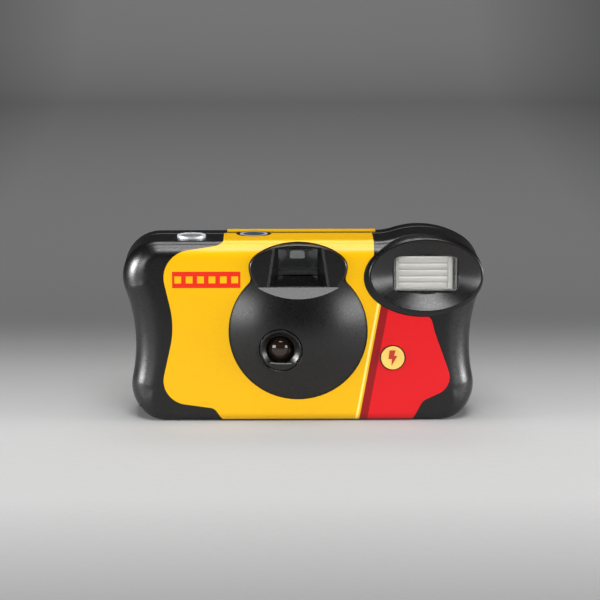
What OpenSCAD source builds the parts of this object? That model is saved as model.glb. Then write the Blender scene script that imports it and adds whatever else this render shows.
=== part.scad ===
// Single-use 35 mm film camera with built-in flash, in millimetres.
// The front faces -Y, +X is the viewer's right, +Z is up, and the base stands on z = 0.

/* [Body] */
// Width across the shoulders
body_w = 118; // [114:0.5:124]
// Inset of each grip's foot from its shoulder
foot_inset = 2.6; // [1:0.1:4]
// Height of the flat top
body_h = 59.25; // [57.5:0.25:64]
// Depth of the two covers, front face to back face
body_d = 30; // [30:0.25:36]
// Depth of the front cover, front face to seam
front_d = 19.5; // [18:0.25:22]
// Wall of both covers
wall = 1.6; // [1.3:0.1:2]
// Corner radius of the shoulders, seen from the front
shoulder_r = 12; // [10:0.5:14]
// Corner radius of the feet, seen from the front
foot_r = 11; // [10:0.5:13]
// Radius of the hollow waist of each grip
waist_r = 53; // [45:1:80]
// Rise of the hump over the flash
hump_h = 2.3; // [1.5:0.1:3]
// Radius of the hump's crown
hump_r = 28; // [26:0.5:34]
// Radius of the hollow that runs from the hump into the flat top
hump_fillet_r = 20; // [12:1:30]

/* [Edges] */
// Rounding of the front cover's side edges
front_side_edge = 9; // [7:0.5:10]
// Rounding of the front cover's top edge
front_top_edge = 5; // [4:0.5:6]
// Rounding of the rear cover's side edges
rear_side_edge = 6; // [4:0.5:7]
// Rounding of the rear cover's top edge
rear_top_edge = 4; // [3:0.5:5]
// Rounding of the base edges
base_edge = 3; // [2.4:0.2:4]

/* [Label] */
// Thickness of the printed label
label_t = 0.3; // [0.2:0.05:0.5]

/* [Lens dome and viewfinder] */
// Radius of the dome round the lens
dome_r = 22.4; // [21:0.2:24]
// Height of the dome above the front face
dome_out = 5.5; // [4.5:0.1:6.5]
// Half width of the viewfinder hood
hood_half_w = 15.8; // [14:0.2:17]
// Height of the hood above the front face
hood_out = 1.2; // [0.8:0.1:2]
// Radius of the countersink round the lens
lens_sink_r = 7; // [6:0.1:8]
// Diameter of the taking lens
lens_d = 10.4; // [9.6:0.1:11.2]
// Width of the viewfinder's front window
finder_w = 14; // [12:0.2:15]
// Height of the viewfinder's front window
finder_h = 10.2; // [8:0.2:10.4]

/* [Flash] */
// Width of the flash window
flash_w = 21.6; // [18:0.2:22]
// Height of the flash window
flash_h = 12.4; // [10:0.2:13]
// Height of the flash pod's rim above the front face
pod_out = 1; // [0.6:0.1:1.6]
// Depth of the dish round the flash window
dish_d = 3.2; // [2.6:0.1:3.6]

/* [Controls] */
// Diameter of the shutter button
shutter_button_d = 9.4; // [8.4:0.1:10]
// Travel of the shutter button
shutter_travel = 1.1; // [0.8:0.1:1.2]
// Diameter of the flash button
flash_button_d = 7.6; // [7:0.1:8.4]
// Travel of the flash button
flash_travel = 0.8; // [0.6:0.1:1]
// Diameter of the counter window
counter_window_d = 9.2; // [8:0.1:10]
// Reach of the thumbwheel past the film cartridge
wheel_reach = 1.1; // [0.8:0.1:1.3]
// Teeth of the thumbwheel
wheel_teeth = 60; // [40:1:72]
// Clearance between a moving piece and its hole
run_gap = 0.15; // [0.1:0.05:0.25]

/* [Film] */
// Clearance in depth between the film cartridge and the two covers
cart_clear = 1.8; // [1.8:0.1:3]
// Clearance between the film cartridge and the deck above it
cart_head = 2.35; // [1:0.05:3]
// Width of the film
film_w = 35; // [34.5:0.1:35]
// Clearance between the film roll's chamber and the flash board
roll_clear = 0.575; // [0.4:0.025:2]
// Width of the frame beside the picture
gate_side = 3.8; // [3:0.1:6]
// Height of the picture on the film
gate_h = 24; // [20:0.5:24.5]

/* [Battery and capacitor] */
// Diameter of the battery
battery_d = 10.5; // [9.5:0.1:10.6]
// Clearance between the battery's nub and the flash board
battery_room = 6.5; // [6:0.1:9]
// Diameter of the flash capacitor
capacitor_d = 10.5; // [9:0.1:11]
// Length of the flash capacitor
capacitor_l = 26; // [20:0.5:28]

/* [Hidden] */
$fn = 48;
// Small overlap that makes cuts run through
eps = 0.5;
// Gap between the two covers at the seam
seam_gap = 0.1;
// Layer of glue under the labels
glue = 0.05;
// Gap between pieces that sit on each other
seat = 0.05;
// Gap between the label's cut edges and what stands through it
label_gap = 0.3;

// Depth axis: the front face, the back face and the seam
total_d = dome_out + body_d + glue + label_t;
front_y = dome_out - total_d / 2;
back_y = front_y + body_d;
seam_y = front_y + front_d;
front_in = front_y + wall;
back_in = back_y - wall;
top_in = body_h - wall;

// Outline of the body, seen from the front: tangent arcs for feet, waist, shoulders and hump
foot_c = [body_w / 2 - foot_inset - foot_r, foot_r];
shoulder_c = [body_w / 2 - shoulder_r, body_h - shoulder_r];
waist_c = circles_meet(foot_c, waist_r + foot_r, shoulder_c, waist_r + shoulder_r);
waist_x = waist_c.x - waist_r;
hump_z = body_h + hump_h - hump_r;
hump_c = [
    shoulder_c.x - sqrt(pow(hump_r - shoulder_r, 2) - pow(shoulder_c.y - hump_z, 2)),
    hump_z
];
fillet_z = body_h + hump_fillet_r;
fillet_c = [hump_c.x - sqrt(pow(hump_r + hump_fillet_r, 2) - pow(fillet_z - hump_z, 2)), fillet_z];
foot_a = angle(foot_c, waist_c);
shoulder_a = angle(shoulder_c, waist_c);
hump_a = angle(hump_c, shoulder_c);
fillet_a = angle(hump_c, fillet_c);
outline = concat(
    arc(foot_c, foot_r, -90, foot_a, 6),
    arc(waist_c, waist_r, foot_a + 180, shoulder_a + 180, 5, -1),
    arc(shoulder_c, shoulder_r, shoulder_a, hump_a, 6),
    arc(hump_c, hump_r, hump_a, fillet_a, 6),
    arc(fillet_c, hump_fillet_r, fillet_a + 180, 270, 3, -1, 1),
    arc(mirror_x(shoulder_c), shoulder_r, 90, 180 - shoulder_a, 7),
    arc(mirror_x(waist_c), waist_r, -shoulder_a, -foot_a, 5, -1),
    arc(mirror_x(foot_c), foot_r, 180 - foot_a, 270, 6, 1, 1)
);
// Steps of each rounded edge, from the face to the side
edge_steps = [90, 68, 45, 22, 0];

// Front features as [x, z]: dome, lens, viewfinder, hood, flash and flash button
dome_c = [-1.6, body_h / 2 + 0.4];
dome_sphere_r = (dome_r * dome_r + dome_out * dome_out) / (2 * dome_out);
lens_c = dome_c - [5.8, 5.5];
lens_sink_d = 2.4;
lens_out = sqrt(pow(dome_sphere_r, 2) - pow(norm(lens_c - dome_c), 2)) - dome_sphere_r + dome_out;
lens_seat_y = front_y - lens_out + lens_sink_d + 1.2;
lens_t = 1.8;
hood_half_h = 7.5;
hood_low_h = 11.5;
hood_drop = 0.35;
hood_c = [dome_c.x, body_h - hood_drop - hood_half_h];
flash_c = [body_w / 2 - 19, body_h - 10.8];
pod_half = [body_w / 2 - flash_c.x - 0.4, body_h + hump_h - flash_c.y - 0.9];
pod_rim = 0.9;
pod_skirt = [1.4, 1.2];
skirt_c = flash_c - pod_skirt / 2;
skirt_half = pod_half + pod_skirt / 2;
dish_floor = 1.4;
flash_lens_t = 1.6;
flash_lens_y = front_y - pod_out + dish_d;
button_c = [dome_c.x + 30.9, dome_c.y - 8.8];
button_out = 0.9;

// Top works, stacked down from the inside of the top
button_arm_t = 1.2;
button_arm_z = top_in - 0.2 - button_arm_t;
wheel_top = button_arm_z - shutter_travel - 0.4;
wheel_h = 4.6;
wheel_hub_r = 4;
fork_r = 3;
wheel_z = wheel_top - wheel_h;
deck_t = 1.2;
deck_top = wheel_z - 0.6;
deck_z = deck_top - deck_t;
lever_t = 1.2;
metering_z = deck_top + 0.3;
striker_z = metering_z + lever_t + 0.3;
keeper_t = 0.8;
keeper_z = striker_z + lever_t + 0.3;
dial_t = 1;
dial_z = keeper_z + keeper_t + 0.4;

// Film path: cartridge at the left, roll at the right, gate between them behind the lens
cart_d = body_d - 2 * wall - cart_clear;
cart_r = cart_d / 2;
chamber_gap = 0.4;
chamber_wall = 1;
cart_floor = 0.3;
cap_t = 0.8;
frame_gap = 2.2;
wheel_r = cart_r + wheel_reach;
cart_x = -(waist_x - wall - frame_gap - chamber_wall - chamber_gap - cart_r);
cart_y = back_in - 0.3 - cart_r;
cart_c = [cart_x, cart_y];
cart_reach = max(0, cart_r - cart_x - foot_c.x);
cart_z = foot_r - sqrt(pow(foot_r - wall, 2) - pow(cart_reach, 2)) + cart_floor;
cart_top = deck_z - cart_head;
film_t = 0.15;
film_y = back_in - 1.1;
film_mid = (cart_z + cart_top) / 2;
film_z = film_mid - film_w / 2;
gate_c = [lens_c.x, film_mid];
gate_y = film_y - 0.25;
gate_t = 1.4;
gate_left = cart_x + sqrt(pow(cart_r + chamber_gap, 2) - pow(gate_y - gate_t - cart_y, 2)) + 0.1;
gate_w = 2 * (gate_c.x - gate_left - gate_side);

// Flash board and capacitor in front of the roll, which takes the room that they leave
board_t = 1.2;
board_y = front_in + 4.2;
capacitor_r = capacitor_d / 2;
capacitor_c = [waist_x - wall - 1.2 - capacitor_r, board_y + board_t + seat + capacitor_r];
roll_gap = 0.6;
roll_r = (film_y - film_t / 2 - seat - board_y - board_t - roll_clear - chamber_wall - roll_gap) / 2;
roll_y = film_y - film_t / 2 - seat - roll_r;
roll_far = roll_r + roll_gap + chamber_wall + capacitor_r + 1.71;
roll_c = [capacitor_c.x - sqrt(pow(roll_far, 2) - pow(roll_y - capacitor_c.y, 2)), roll_y];
roll_core_r = 4;
spool_end_r = 4.4;
wound_r = 8.2;
// Sprocket: one turn of eight perforations moves one picture
perf_pitch = 4.75;
sprocket_teeth = 8;
sprocket_r = perf_pitch * sprocket_teeth / 360 * 180 / PI - film_t / 2;
sprocket_c = [cart_x + cart_r + 7, film_y - film_t / 2 - sprocket_r];
sprocket_z = film_z + film_w - 3.2;
sprocket_h = 2.4;
sprocket_shaft_r = 1.6;

// Places of the top works as [x, y]
shutter_c = [cart_x + 0.8, cart_y - 3];
counter_c = [sprocket_c.x + 1.7, sprocket_c.y - 4.25];
dial_c = [sprocket_c.x + 2.3, counter_c.y - 5.6];
dial_r = 5.5;
striker_c = [sprocket_c.x + 0.1, sprocket_c.y - 11.85];
metering_c = [sprocket_c.x + 4.1, sprocket_c.y - 4.3];
release_c = [cart_x + wheel_r + 0.6, sprocket_c.y - 11.05];
release_r = 0.9;
post_r = 0.9;
post_gap = 0.08;
lever_hub_r = 1.5;

// Shutter and lens stack along Y, behind the dome
plate_y = front_in + 3.2;
plate_t = 1;
holder_t = 0.9;
holder_y = front_in + 0.4;
blade_t = 0.4;
blade_y = holder_y + holder_t + 0.3;
blade_pivot = lens_c + [-11.1, 10.1];
blade_tab = [blade_pivot.x + 1.1, striker_z + lever_t / 2];
blade_disc_r = 3.2;
aperture_r = 2.4;

// Viewfinder
finder_x = dome_c.x;
finder_drop = 1.5;
finder_z = deck_z - finder_drop + seat;
finder_y = front_y + 4.4;
finder_t = 1.4;
eyepiece_w = 9.6;
eyepiece_h = 6.4;
eyepiece_t = 2.6;
eyepiece_c = [finder_x, finder_z + finder_h / 2];

// Battery, and what the flash board carries
battery_r = battery_d / 2;
battery_c = [front_in + 0.3 + battery_r, wall + 0.3 + battery_r];
battery_x = cart_x + cart_r + 1.9;
contact_t = 0.4;
nub_l = 0.8;
board_x = roll_c.x - 2.5;
board_w = 22;
battery_l = board_x - battery_room - nub_l - battery_x;
board_z = wall + 2.4;
board_h = flash_c.y - flash_h / 2 - 2 - board_z;
capacitor_top = board_z + board_h - 0.5;
lamp_r = 1.5;
lamp_c = [finder_x + 15, deck_top + lamp_r + 0.1];

// Door under the cartridge, as the lowest and highest corner of its opening
door_from = [-body_w / 2, cart_y - cart_r - 0.2, -eps];
door_to = [cart_x + cart_r + 0.6, cart_y + cart_r + 0.4, cart_z + 1.5];
door_gap = 0.25;
hinge_gap = 0.6;
holder_posts = [lens_c + [-9, -6.6], lens_c + [10, -6.6], lens_c + [10, 12]];
reflector_d = 7;
tube_r = 1.2;
tube_y = flash_lens_y + flash_lens_t + 4;
button_stem_y = front_in + 1.6;

// Outlines of the labels as corner points [x, z, radius], waisted like the grips
half_w = body_w / 2;
label_foot = 0.6;
label_edge = 1;
label_top = body_h + 1;
front_die = [
    [34.2 - half_w, label_top, 0], [32 - half_w, body_h - 1, 6], [11.7 - half_w, body_h - 3.8, 9],
    [17.2 - half_w, body_h / 2 + 2, 30], [11.7 - half_w, 7, 8],
    [30 - half_w, 4.4, 3], [32.6 - half_w, label_foot, 0],
    [half_w - 23, label_foot, 0], [half_w - 19.7, 6.8, 4], [half_w - 9.5, 11.5, 6],
    [half_w - 16, body_h / 2, 20],
    [flash_c.x + 1.6, flash_c.y - 13.3, 2], [flash_c.x - 10, flash_c.y - 9.9, 0],
    [half_w - 36, flash_c.y, 0], [half_w - 36, label_top, 0]
];
rear_die = [
    [34.2 - half_w, label_top, 0], [34.2 - half_w, deck_z - 1.4, 4], [13 - half_w, deck_z - 2, 6],
    [16 - half_w, body_h / 2, 30], [13 - half_w, 9, 5], [31 - half_w, 7.5, 3], [34.5 - half_w, label_foot, 0],
    [half_w - 32.6, label_foot, 0], [half_w - 30, 4.4, 3], [half_w - 11.7, 7, 8],
    [half_w - 15, body_h / 2, 30],
    [half_w - 11.7, body_h - 6, 8], [half_w - 32, body_h - 3, 5], [half_w - 35.4, label_top, 0]
];

// Angle of the line from p to q
function angle(p, q) = atan2(q.y - p.y, q.x - p.x);
function mirror_x(p) = [-p.x, p.y];
// Right-hand meeting point of two circles about p and q
function circles_meet(p, rp, q, rq) =
    let (d = norm(q - p), a = (d * d + rp * rp - rq * rq) / (2 * d), h = sqrt(rp * rp - a * a))
    p + (q - p) * a / d + [q.y - p.y, p.x - q.x] * h / d;
// Points [x, z, normal x, normal z] of an arc; a hollow arc has side = -1
function arc(c, r, from, to, n, side = 1, last = 0) = [
    for (i = [0 : n - 1 + last])
        let (a = from + (to - from) * i / n)
        [c.x + r * cos(a), c.y + r * sin(a), side * cos(a), side * sin(a)]
];
// Edge rounding at an outline point, by the way its normal looks
function edge_r(p, side_r, top_r) =
    side_r * p[2] * p[2] + (p[3] > 0 ? top_r : base_edge) * p[3] * p[3];
// Ring of points on a cover's skin, off mm outside it, at edge angle phi; face = -1 front, 1 rear
function skin_ring(face, off, phi) = [
    for (p = outline)
        let (r = face < 0 ? edge_r(p, front_side_edge, front_top_edge)
                          : edge_r(p, rear_side_edge, rear_top_edge),
             out = off * cos(phi) - r * (1 - cos(phi)),
             face_y = face < 0 ? front_y : back_y)
        [p[0] + p[2] * out, face_y + face * (off * sin(phi) - r * (1 - sin(phi))), p[1] + p[3] * out]
];
// Ring of points of the outline, off mm outside it, at depth y
function wall_ring(off, y) = [for (p = outline) [p[0] + p[2] * off, y, p[1] + p[3] * off]];
// Points of an ellipse about c, in the plane of the front face
function ellipse(c, a, b, n = 40) = [
    for (i = [0 : n - 1]) c + [a * cos(i * 360 / n), b * sin(i * 360 / n)]
];
// Outline of the viewfinder hood, grown by a margin: half ellipses above and below its centre
function hood_outline(grow) = [
    for (i = [0 : 43])
        let (a = i * 360 / 44, half_h = sin(a) > 0 ? hood_half_h : hood_low_h)
        hood_c + [(hood_half_w + grow) * cos(a), (half_h + grow) * sin(a)]
];
function mean(points) = sum(points) / len(points);
function sum(v, i = 0) = i == len(v) - 1 ? v[i] : v[i] + sum(v, i + 1);
// Outline with rounded corners from points [x, z, radius]
function rounded(points, n = 5) = [
    for (i = [0 : len(points) - 1])
        let (k = len(points), a = points[(i + k - 1) % k], b = points[i], c = points[(i + 1) % k],
             u = unit([a.x - b.x, a.y - b.y]), v = unit([c.x - b.x, c.y - b.y]),
             half = acos(max(-1, min(1, u * v))) / 2, cut = b.z / tan(half),
             centre = [b.x, b.y] + unit(u + v) * b.z / sin(half),
             from = angle(centre, [b.x, b.y] + u * cut), to = angle(centre, [b.x, b.y] + v * cut),
             turn = (to - from + 540) % 360 - 180)
        each b.z == 0 ? [[b.x, b.y]] : [
            for (j = [0 : n]) centre + b.z * [cos(from + turn * j / n), sin(from + turn * j / n)]
        ]
];
function unit(v) = v / norm(v);

// Closed skin through rings of points that run counter-clockwise, seen from the first ring's side
module loft(rings, flip = false) {
    n = len(rings[0]);
    m = len(rings);
    first = n * m;
    points = concat([for (r = rings) each r], [mean(rings[0]), mean(rings[m - 1])]);
    sides = [
        for (k = [0 : m - 2]) for (i = [0 : n - 1])
            let (a = k * n + i, b = k * n + (i + 1) % n)
            each [[a, b, b + n], [a, b + n, a + n]]
    ];
    caps = [
        for (i = [0 : n - 1])
            let (j = (i + 1) % n)
            each [[first, j, i], [first + 1, (m - 1) * n + i, (m - 1) * n + j]]
    ];
    faces = concat(sides, caps);
    polyhedron(points, flip ? [for (f = faces) [f[2], f[1], f[0]]] : faces, 4);
}
// Flat shapes in the plane of the front face, each extruded from depth y0 to depth y1
module along_y(y0, y1) {
    for (i = [0 : $children - 1])
        translate([0, y1, 0]) rotate([90, 0, 0]) linear_extrude(y1 - y0) children(i);
}
// Flat shapes in plan, each extruded from height z0 to height z1
module along_z(z0, z1) {
    for (i = [0 : $children - 1])
        translate([0, 0, z0]) linear_extrude(z1 - z0) children(i);
}
// Box from its lowest to its highest corner
module block(from, to) {
    translate(from) cube(to - from);
}
// Round bar along Y about [x, z]
module bar_y(c, r, y0, y1) {
    translate([c.x, y1, c.y]) rotate([90, 0, 0]) cylinder(r = r, h = y1 - y0);
}
// Round bar along Z about [x, y]
module bar_z(c, r, z0, z1) {
    translate([c.x, c.y, z0]) cylinder(r = r, h = z1 - z0);
}
// Profile of [radius, height towards the front] turned about an axis along Y through [x, z]
module turned_y(c, y) {
    translate([c.x, y, c.y]) rotate([90, 0, 0]) rotate_extrude($fn = 72) children();
}
// Wall of one cover between two skins, from its face to depth y
module cover_skin(face, outer, inner, y) {
    loft(concat(
        [for (phi = edge_steps) skin_ring(face, outer, phi)],
        [wall_ring(outer, y), wall_ring(inner, y)],
        [for (i = [len(edge_steps) - 1 : -1 : 0]) skin_ring(face, inner, edge_steps[i])]
    ), face > 0);
}
// Space inside a cover, from its face to depth y
module cavity(face, y) {
    loft(concat(
        [for (phi = edge_steps) skin_ring(face, -wall, phi)],
        [wall_ring(-wall, y)]
    ), face > 0);
}
// Tapered arm from inside a hub of radius rp at p to inside one of radius rq at q
module arm(p, q, rp, rq) {
    taper = 0.95;
    across = taper * [p.y - q.y, q.x - p.x] / norm(q - p);
    polygon([p + across * rp, q + across * rq, q - across * rq, p - across * rp]);
}
// Round hub at p
module hub(p, r) {
    translate(p) circle(r);
}
// Coil of round wire, standing on z = 0
module coil(r, wire_r, turns, height) {
    steps = turns * 10;
    loft([
        for (k = [0 : steps])
            let (a = 360 * k / 10, z = wire_r + (height - 2 * wire_r) * k / steps)
            [
                for (i = [0 : 5])
                    let (s = r + wire_r * cos(60 * i))
                    [s * cos(a), s * sin(a), z + wire_r * sin(60 * i)]
            ]
    ]);
}
// Outline of the flash window, grown by a margin: a rectangle with soft corners
function pane(grow) = [
    for (i = [0 : 39])
        let (c = cos(i * 9), s = sin(i * 9),
             across = sign(c) * pow(abs(c), 0.3), up = sign(s) * pow(abs(s), 0.3))
        flash_c + [(flash_w / 2 + grow) * across, (flash_h / 2 + grow) * up]
];
// Ring between the pod's rim and the flash window, mix = 0 to 1, at depth y
function dish_ring(mix, y, grow = 0) =
    let (rim = ellipse(flash_c, pod_half.x - pod_rim + grow, pod_half.y - pod_rim + grow), window = pane(0))
    [for (i = [0 : 39]) let (p = rim[i] * (1 - mix) + window[i] * mix) [p.x, y, p.y]];
// Four corners of the viewfinder's funnel at depth y: half widths below and above, lowest and highest z
function funnel_ring(y, low_w, high_w, low, high) = [
    [finder_x - low_w, y, low], [finder_x + low_w, y, low],
    [finder_x + high_w, y, high], [finder_x - high_w, y, high]
];
// Funnel of the viewfinder, grown by a margin, from lead mm in front of the hood's face to its window
module funnel(grow, lead) {
    front = front_y - hood_out - lead;
    low = finder_z - 1.9;
    high = finder_z + finder_h + 0.5;
    loft([
        funnel_ring(front, finder_w / 2 + 2.5 + grow, finder_w / 2 + 0.6 + grow, low - grow, high + grow),
        funnel_ring(finder_y - seat, finder_w / 2 - 0.6 + grow, finder_w / 2 - 0.6 + grow,
                    finder_z + 0.6 - grow, finder_z + finder_h - 0.6 + grow)
    ]);
}
// Wedge in front of the viewfinder that cuts the dome off, its slope moved inward by off
module shelf_space(off) {
    face = front_y - hood_out;
    shelf_z = finder_z - 2.1;
    run = [5.6, 6.4];
    in = off * [run.y, run.x] / norm(run);
    rotate([90, 0, 90]) translate([0, 0, dome_c.x - dome_r]) linear_extrude(2 * dome_r) polygon([
        [face + in.x, shelf_z - in.y], [face - run.x + in.x, shelf_z - run.y - in.y],
        [front_y - dome_out - 3, body_h], [face + in.x, body_h]
    ]);
}
// Solid cap of a sphere of radius r about the dome's centre, reaching back mm behind the front face
module dome_cap(r, back) turned_y(dome_c, front_y) intersection() {
    translate([0, dome_out - dome_sphere_r]) circle(r, $fn = 96);
    translate([0, -back]) square([dome_r, dome_out + 2 * wall]);
}
// Spherical dome, hollow behind, cut off below the viewfinder by a slanting shelf one wall thick
module dome() difference() {
    dome_cap(dome_sphere_r, wall);
    difference() {
        dome_cap(dome_sphere_r - wall, wall + eps);
        shelf_space(wall);
    }
    shelf_space(0);
}
// Elliptical boss with a dished face and an opening for the flash window, spreading to a skirt at the label
module flash_pod() {
    face = front_y - pod_out;
    foot = ellipse(skirt_c, skirt_half.x, skirt_half.y);
    difference() {
        union() {
            difference() {
                loft([
                    [for (p = ellipse(flash_c, pod_half.x, pod_half.y)) [p.x, face, p.y]],
                    [for (p = foot) [p.x, front_y, p.y]],
                    [for (p = foot) [p.x, front_y + front_side_edge, p.y]]
                ]);
                cavity(-1, seam_y);
            }
            along_y(front_y, face + dish_d + dish_floor)
                polygon(ellipse(flash_c, pod_half.x - pod_rim, pod_half.y - pod_rim));
        }
        loft([
            dish_ring(0, face - eps, 0.3), dish_ring(0, face), dish_ring(0.42, face + dish_d * 0.5),
            dish_ring(0.72, face + dish_d * 0.78), dish_ring(1, face + dish_d),
            dish_ring(1, face + dish_d + 3)
        ]);
    }
}
module front_cover() color("#262626") {
    hood_face = front_y - hood_out;
    difference() {
        union() {
            difference() {
                cover_skin(-1, 0, -wall, seam_y - seam_gap / 2);
                bar_y(dome_c, dome_r - 0.6, front_y - eps, front_in + eps);
                along_y(front_y - eps, front_in + eps)
                    polygon(ellipse(flash_c, pod_half.x - pod_rim - 0.5, pod_half.y - pod_rim - 0.5));
            }
            dome();
            flash_pod();
            difference() {
                along_y(hood_face, front_y + front_top_edge) polygon(hood_outline(0));
                cavity(-1, seam_y);
                bar_y(dome_c, dome_r - wall, front_y, front_in + eps);
            }
            intersection() {
                funnel(1, -0.3);
                along_y(hood_face, finder_y) polygon(hood_outline(0));
            }
            bar_y(lens_c, lens_sink_r + 1, front_y - lens_out + 1.6, lens_seat_y);
        }
        funnel(0, 0.2);
        translate([0, finder_y - seat, 0]) funnel_cut();
        turned_y(lens_c, front_y - lens_out + lens_sink_d) polygon([
            [0, 0], [lens_sink_r - 2, 0], [lens_sink_r, lens_sink_d - 0.8], [lens_sink_r, 9], [0, 9]
        ]);
        lens_opening();
        bar_y(lens_c, lens_d / 2 + run_gap, lens_seat_y - 0.6, lens_seat_y + eps);
        bar_y(button_c, flash_button_d / 2 + run_gap, front_y - eps, front_in + eps);
        bar_z(shutter_c, shutter_button_d / 2 + run_gap, top_in - eps, body_h + eps);
        bar_z(counter_c, counter_window_d / 2 + seat, top_in - eps, body_h + 1);
        door_cut();
    }
}
// Round opening with a flat foot, in front of the lens
module lens_opening() {
    r = lens_sink_r - 2.4;
    along_y(front_y - dome_out, lens_seat_y + eps) translate(lens_c) intersection() {
        circle(r);
        translate([-r, -4.2]) square([2 * r, r + 4.2]);
    }
}
// Clear passage behind the viewfinder's front window
module funnel_cut() {
    block([finder_x - finder_w / 2 - 0.2, 0, finder_z - 0.2],
          [finder_x + finder_w / 2 + 0.2, finder_t + 1, finder_z + finder_h + 0.2]);
}
module door_cut() {
    gap = [door_gap, door_gap, 0];
    block(door_from - gap, door_to + [hinge_gap, door_gap, door_gap]);
}
module rear_cover() color("#262626") {
    slot_w = 20;
    dimple_r = 20;
    dimple_d = 0.9;
    rail_h = film_t / 2 + 0.25;
    difference() {
        union() {
            cover_skin(1, 0, -wall, seam_y + seam_gap / 2);
            for (z = [film_z + 3, film_z + film_w - 5.5])
                block([gate_c.x - gate_w / 2, film_y + rail_h, z],
                      [gate_c.x + gate_w / 2, back_in + eps, z + 2]);
            along_y(back_in - 1.2, back_in + eps) translate(eyepiece_c)
                square([eyepiece_w + 2.4, eyepiece_h + 2.4], center = true);
        }
        along_y(back_in - 3, back_y + 1) translate(eyepiece_c)
            square([eyepiece_w - 1.2, eyepiece_h - 1.2], center = true);
        along_y(back_in - 3, back_in + 0.8) translate(eyepiece_c)
            square([eyepiece_w + 2 * seat, eyepiece_h + 2 * seat], center = true);
        block([cart_x - slot_w / 2, back_in - 4, wheel_z - 0.5],
              [cart_x + slot_w / 2, back_y + 1, wheel_top + 0.5]);
        translate([cart_x, back_y + dimple_r - dimple_d, wheel_z + wheel_h / 2]) sphere(dimple_r, $fn = 64);
        bar_y(lamp_c, lamp_r + 0.4 + seat, back_in - 1, back_y + 1);
        bar_z(counter_c, counter_window_d / 2 + seat, top_in - eps, body_h + 1);
        door_cut();
    }
}
module film_door() color("#2b2b2b") {
    intersection() {
        union() {
            cover_skin(-1, 0, -wall, seam_y);
            cover_skin(1, 0, -wall, seam_y);
        }
        block(door_from, door_to);
    }
}
// Label: a thin skin over one cover, die-cut by a flat outline
module label(face, die) {
    edge_y = seam_y + face * label_edge;
    intersection() {
        cover_skin(face, glue + label_t, glue, edge_y);
        along_y(-total_d, total_d) polygon(rounded(die));
    }
}
module front_label() color("#fbc30f") difference() {
    label(-1, front_die);
    along_y(-total_d, seam_y) {
        polygon(ellipse(skirt_c, skirt_half.x + label_gap, skirt_half.y + label_gap));
        polygon(hood_outline(label_gap));
    }
    bar_y(dome_c, dome_r + label_gap, -total_d, seam_y);
    bar_y(button_c, flash_button_d / 2 + run_gap + label_gap, -total_d, seam_y);
    bar_z(counter_c, counter_window_d / 2 + label_gap, top_in, body_h + 1);
}
module rear_label() color("#fbc30f") difference() {
    label(1, rear_die);
    along_y(seam_y, total_d) translate(eyepiece_c) square([eyepiece_w + 3, eyepiece_h + 3], center = true);
    bar_y(lamp_c, lamp_r + 1.2, seam_y, total_d);
    bar_z(counter_c, counter_window_d / 2 + label_gap, top_in, body_h + 1);
}
// Chamber wall round [x, y], open to the back
module chamber(c, r, z0, z1) {
    difference() {
        bar_z(c, r + chamber_wall, z0, z1);
        bar_z(c, r, z0 - eps, z1 + eps);
        block([c.x - 2 * r, c.y + 3, z0 - eps], [c.x + 2 * r, c.y + 2 * r, z1 + eps]);
    }
}
// Four corners of the light tunnel at depth y
function tunnel_ring(y, w, h, c) = [
    [c.x - w / 2, y, c.y - h / 2], [c.x + w / 2, y, c.y - h / 2],
    [c.x + w / 2, y, c.y + h / 2], [c.x - w / 2, y, c.y + h / 2]
];
module tunnel(grow, ends) {
    loft([
        tunnel_ring(plate_y + plate_t - ends, 8 + grow, 6.4 + grow, lens_c),
        tunnel_ring(gate_y - gate_t + ends, gate_w + grow, gate_h + grow, gate_c)
    ]);
}
module main_frame() color("#3a3a3c") {
    floor_z = wall + seat;
    gate_low = film_z - 2;
    gate_high = deck_z + 0.2;
    gate_right = roll_c.x - roll_r - roll_gap;
    plate_left = blade_pivot.x - 2.5;
    plate_right = lens_c.x + 13;
    plate_low = battery_c.y + battery_r + 0.6;
    roll_floor = film_z - 1.6;
    difference() {
        union() {
            deck();
            chamber(cart_c, cart_r + chamber_gap, door_to.z + door_gap + 0.1, deck_z + eps);
            chamber(roll_c, roll_r + roll_gap, floor_z, film_z + film_w - 6);
            roll_floor_disc(roll_floor);
            bar_z(roll_c, roll_core_r - 0.3, roll_floor, film_z + film_w + 1);
            block([gate_left, gate_y - gate_t, gate_low], [gate_right, gate_y, gate_high]);
            block([gate_right - 1, roll_c.y, gate_low], [gate_right + 0.6, gate_y, film_z + film_w - 6]);
            block([plate_left, plate_y, plate_low], [plate_right, plate_y + plate_t, deck_z + eps]);
            tunnel(2.4, 0.3);
            bar_y(blade_pivot, post_r, holder_y + holder_t + seat, plate_y + eps);
            for (x = [lens_c.x - 7, lens_c.x + 5]) battery_saddle(x);
            for (p = [striker_c, metering_c]) bar_z(p, post_r, deck_top - eps, keeper_z + keeper_t);
            bar_z(dial_c, post_r, deck_top - eps, dial_z + dial_t + 0.3);
            bar_z(dial_c, 1.2, deck_top - eps, keeper_z - seat);
            for (p = holder_posts) bar_y(p, 1.4, holder_y + holder_t + seat, plate_y + eps);
        }
        tunnel(0, 0.35);
        along_y(gate_y - gate_t - eps, gate_y + eps) translate(gate_c)
            square([gate_w, gate_h], center = true);
        bar_y(lens_c, aperture_r, plate_y - eps, plate_y + plate_t + eps);
        bar_z(sprocket_c, sprocket_r + 1.6, sprocket_z - 0.5, sprocket_z + sprocket_h + 0.5);
        bar_z(sprocket_c, sprocket_shaft_r + post_gap, sprocket_z, deck_top + eps);
        bar_z(cart_c, wheel_hub_r + run_gap, deck_z - eps, deck_top + eps);
        block([finder_x - finder_w / 2 - 0.3, plate_y - eps, finder_z - seat],
              [finder_x + finder_w / 2 + 0.3, finder_y + finder_t + seat, deck_top + eps]);
    }
}
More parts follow.
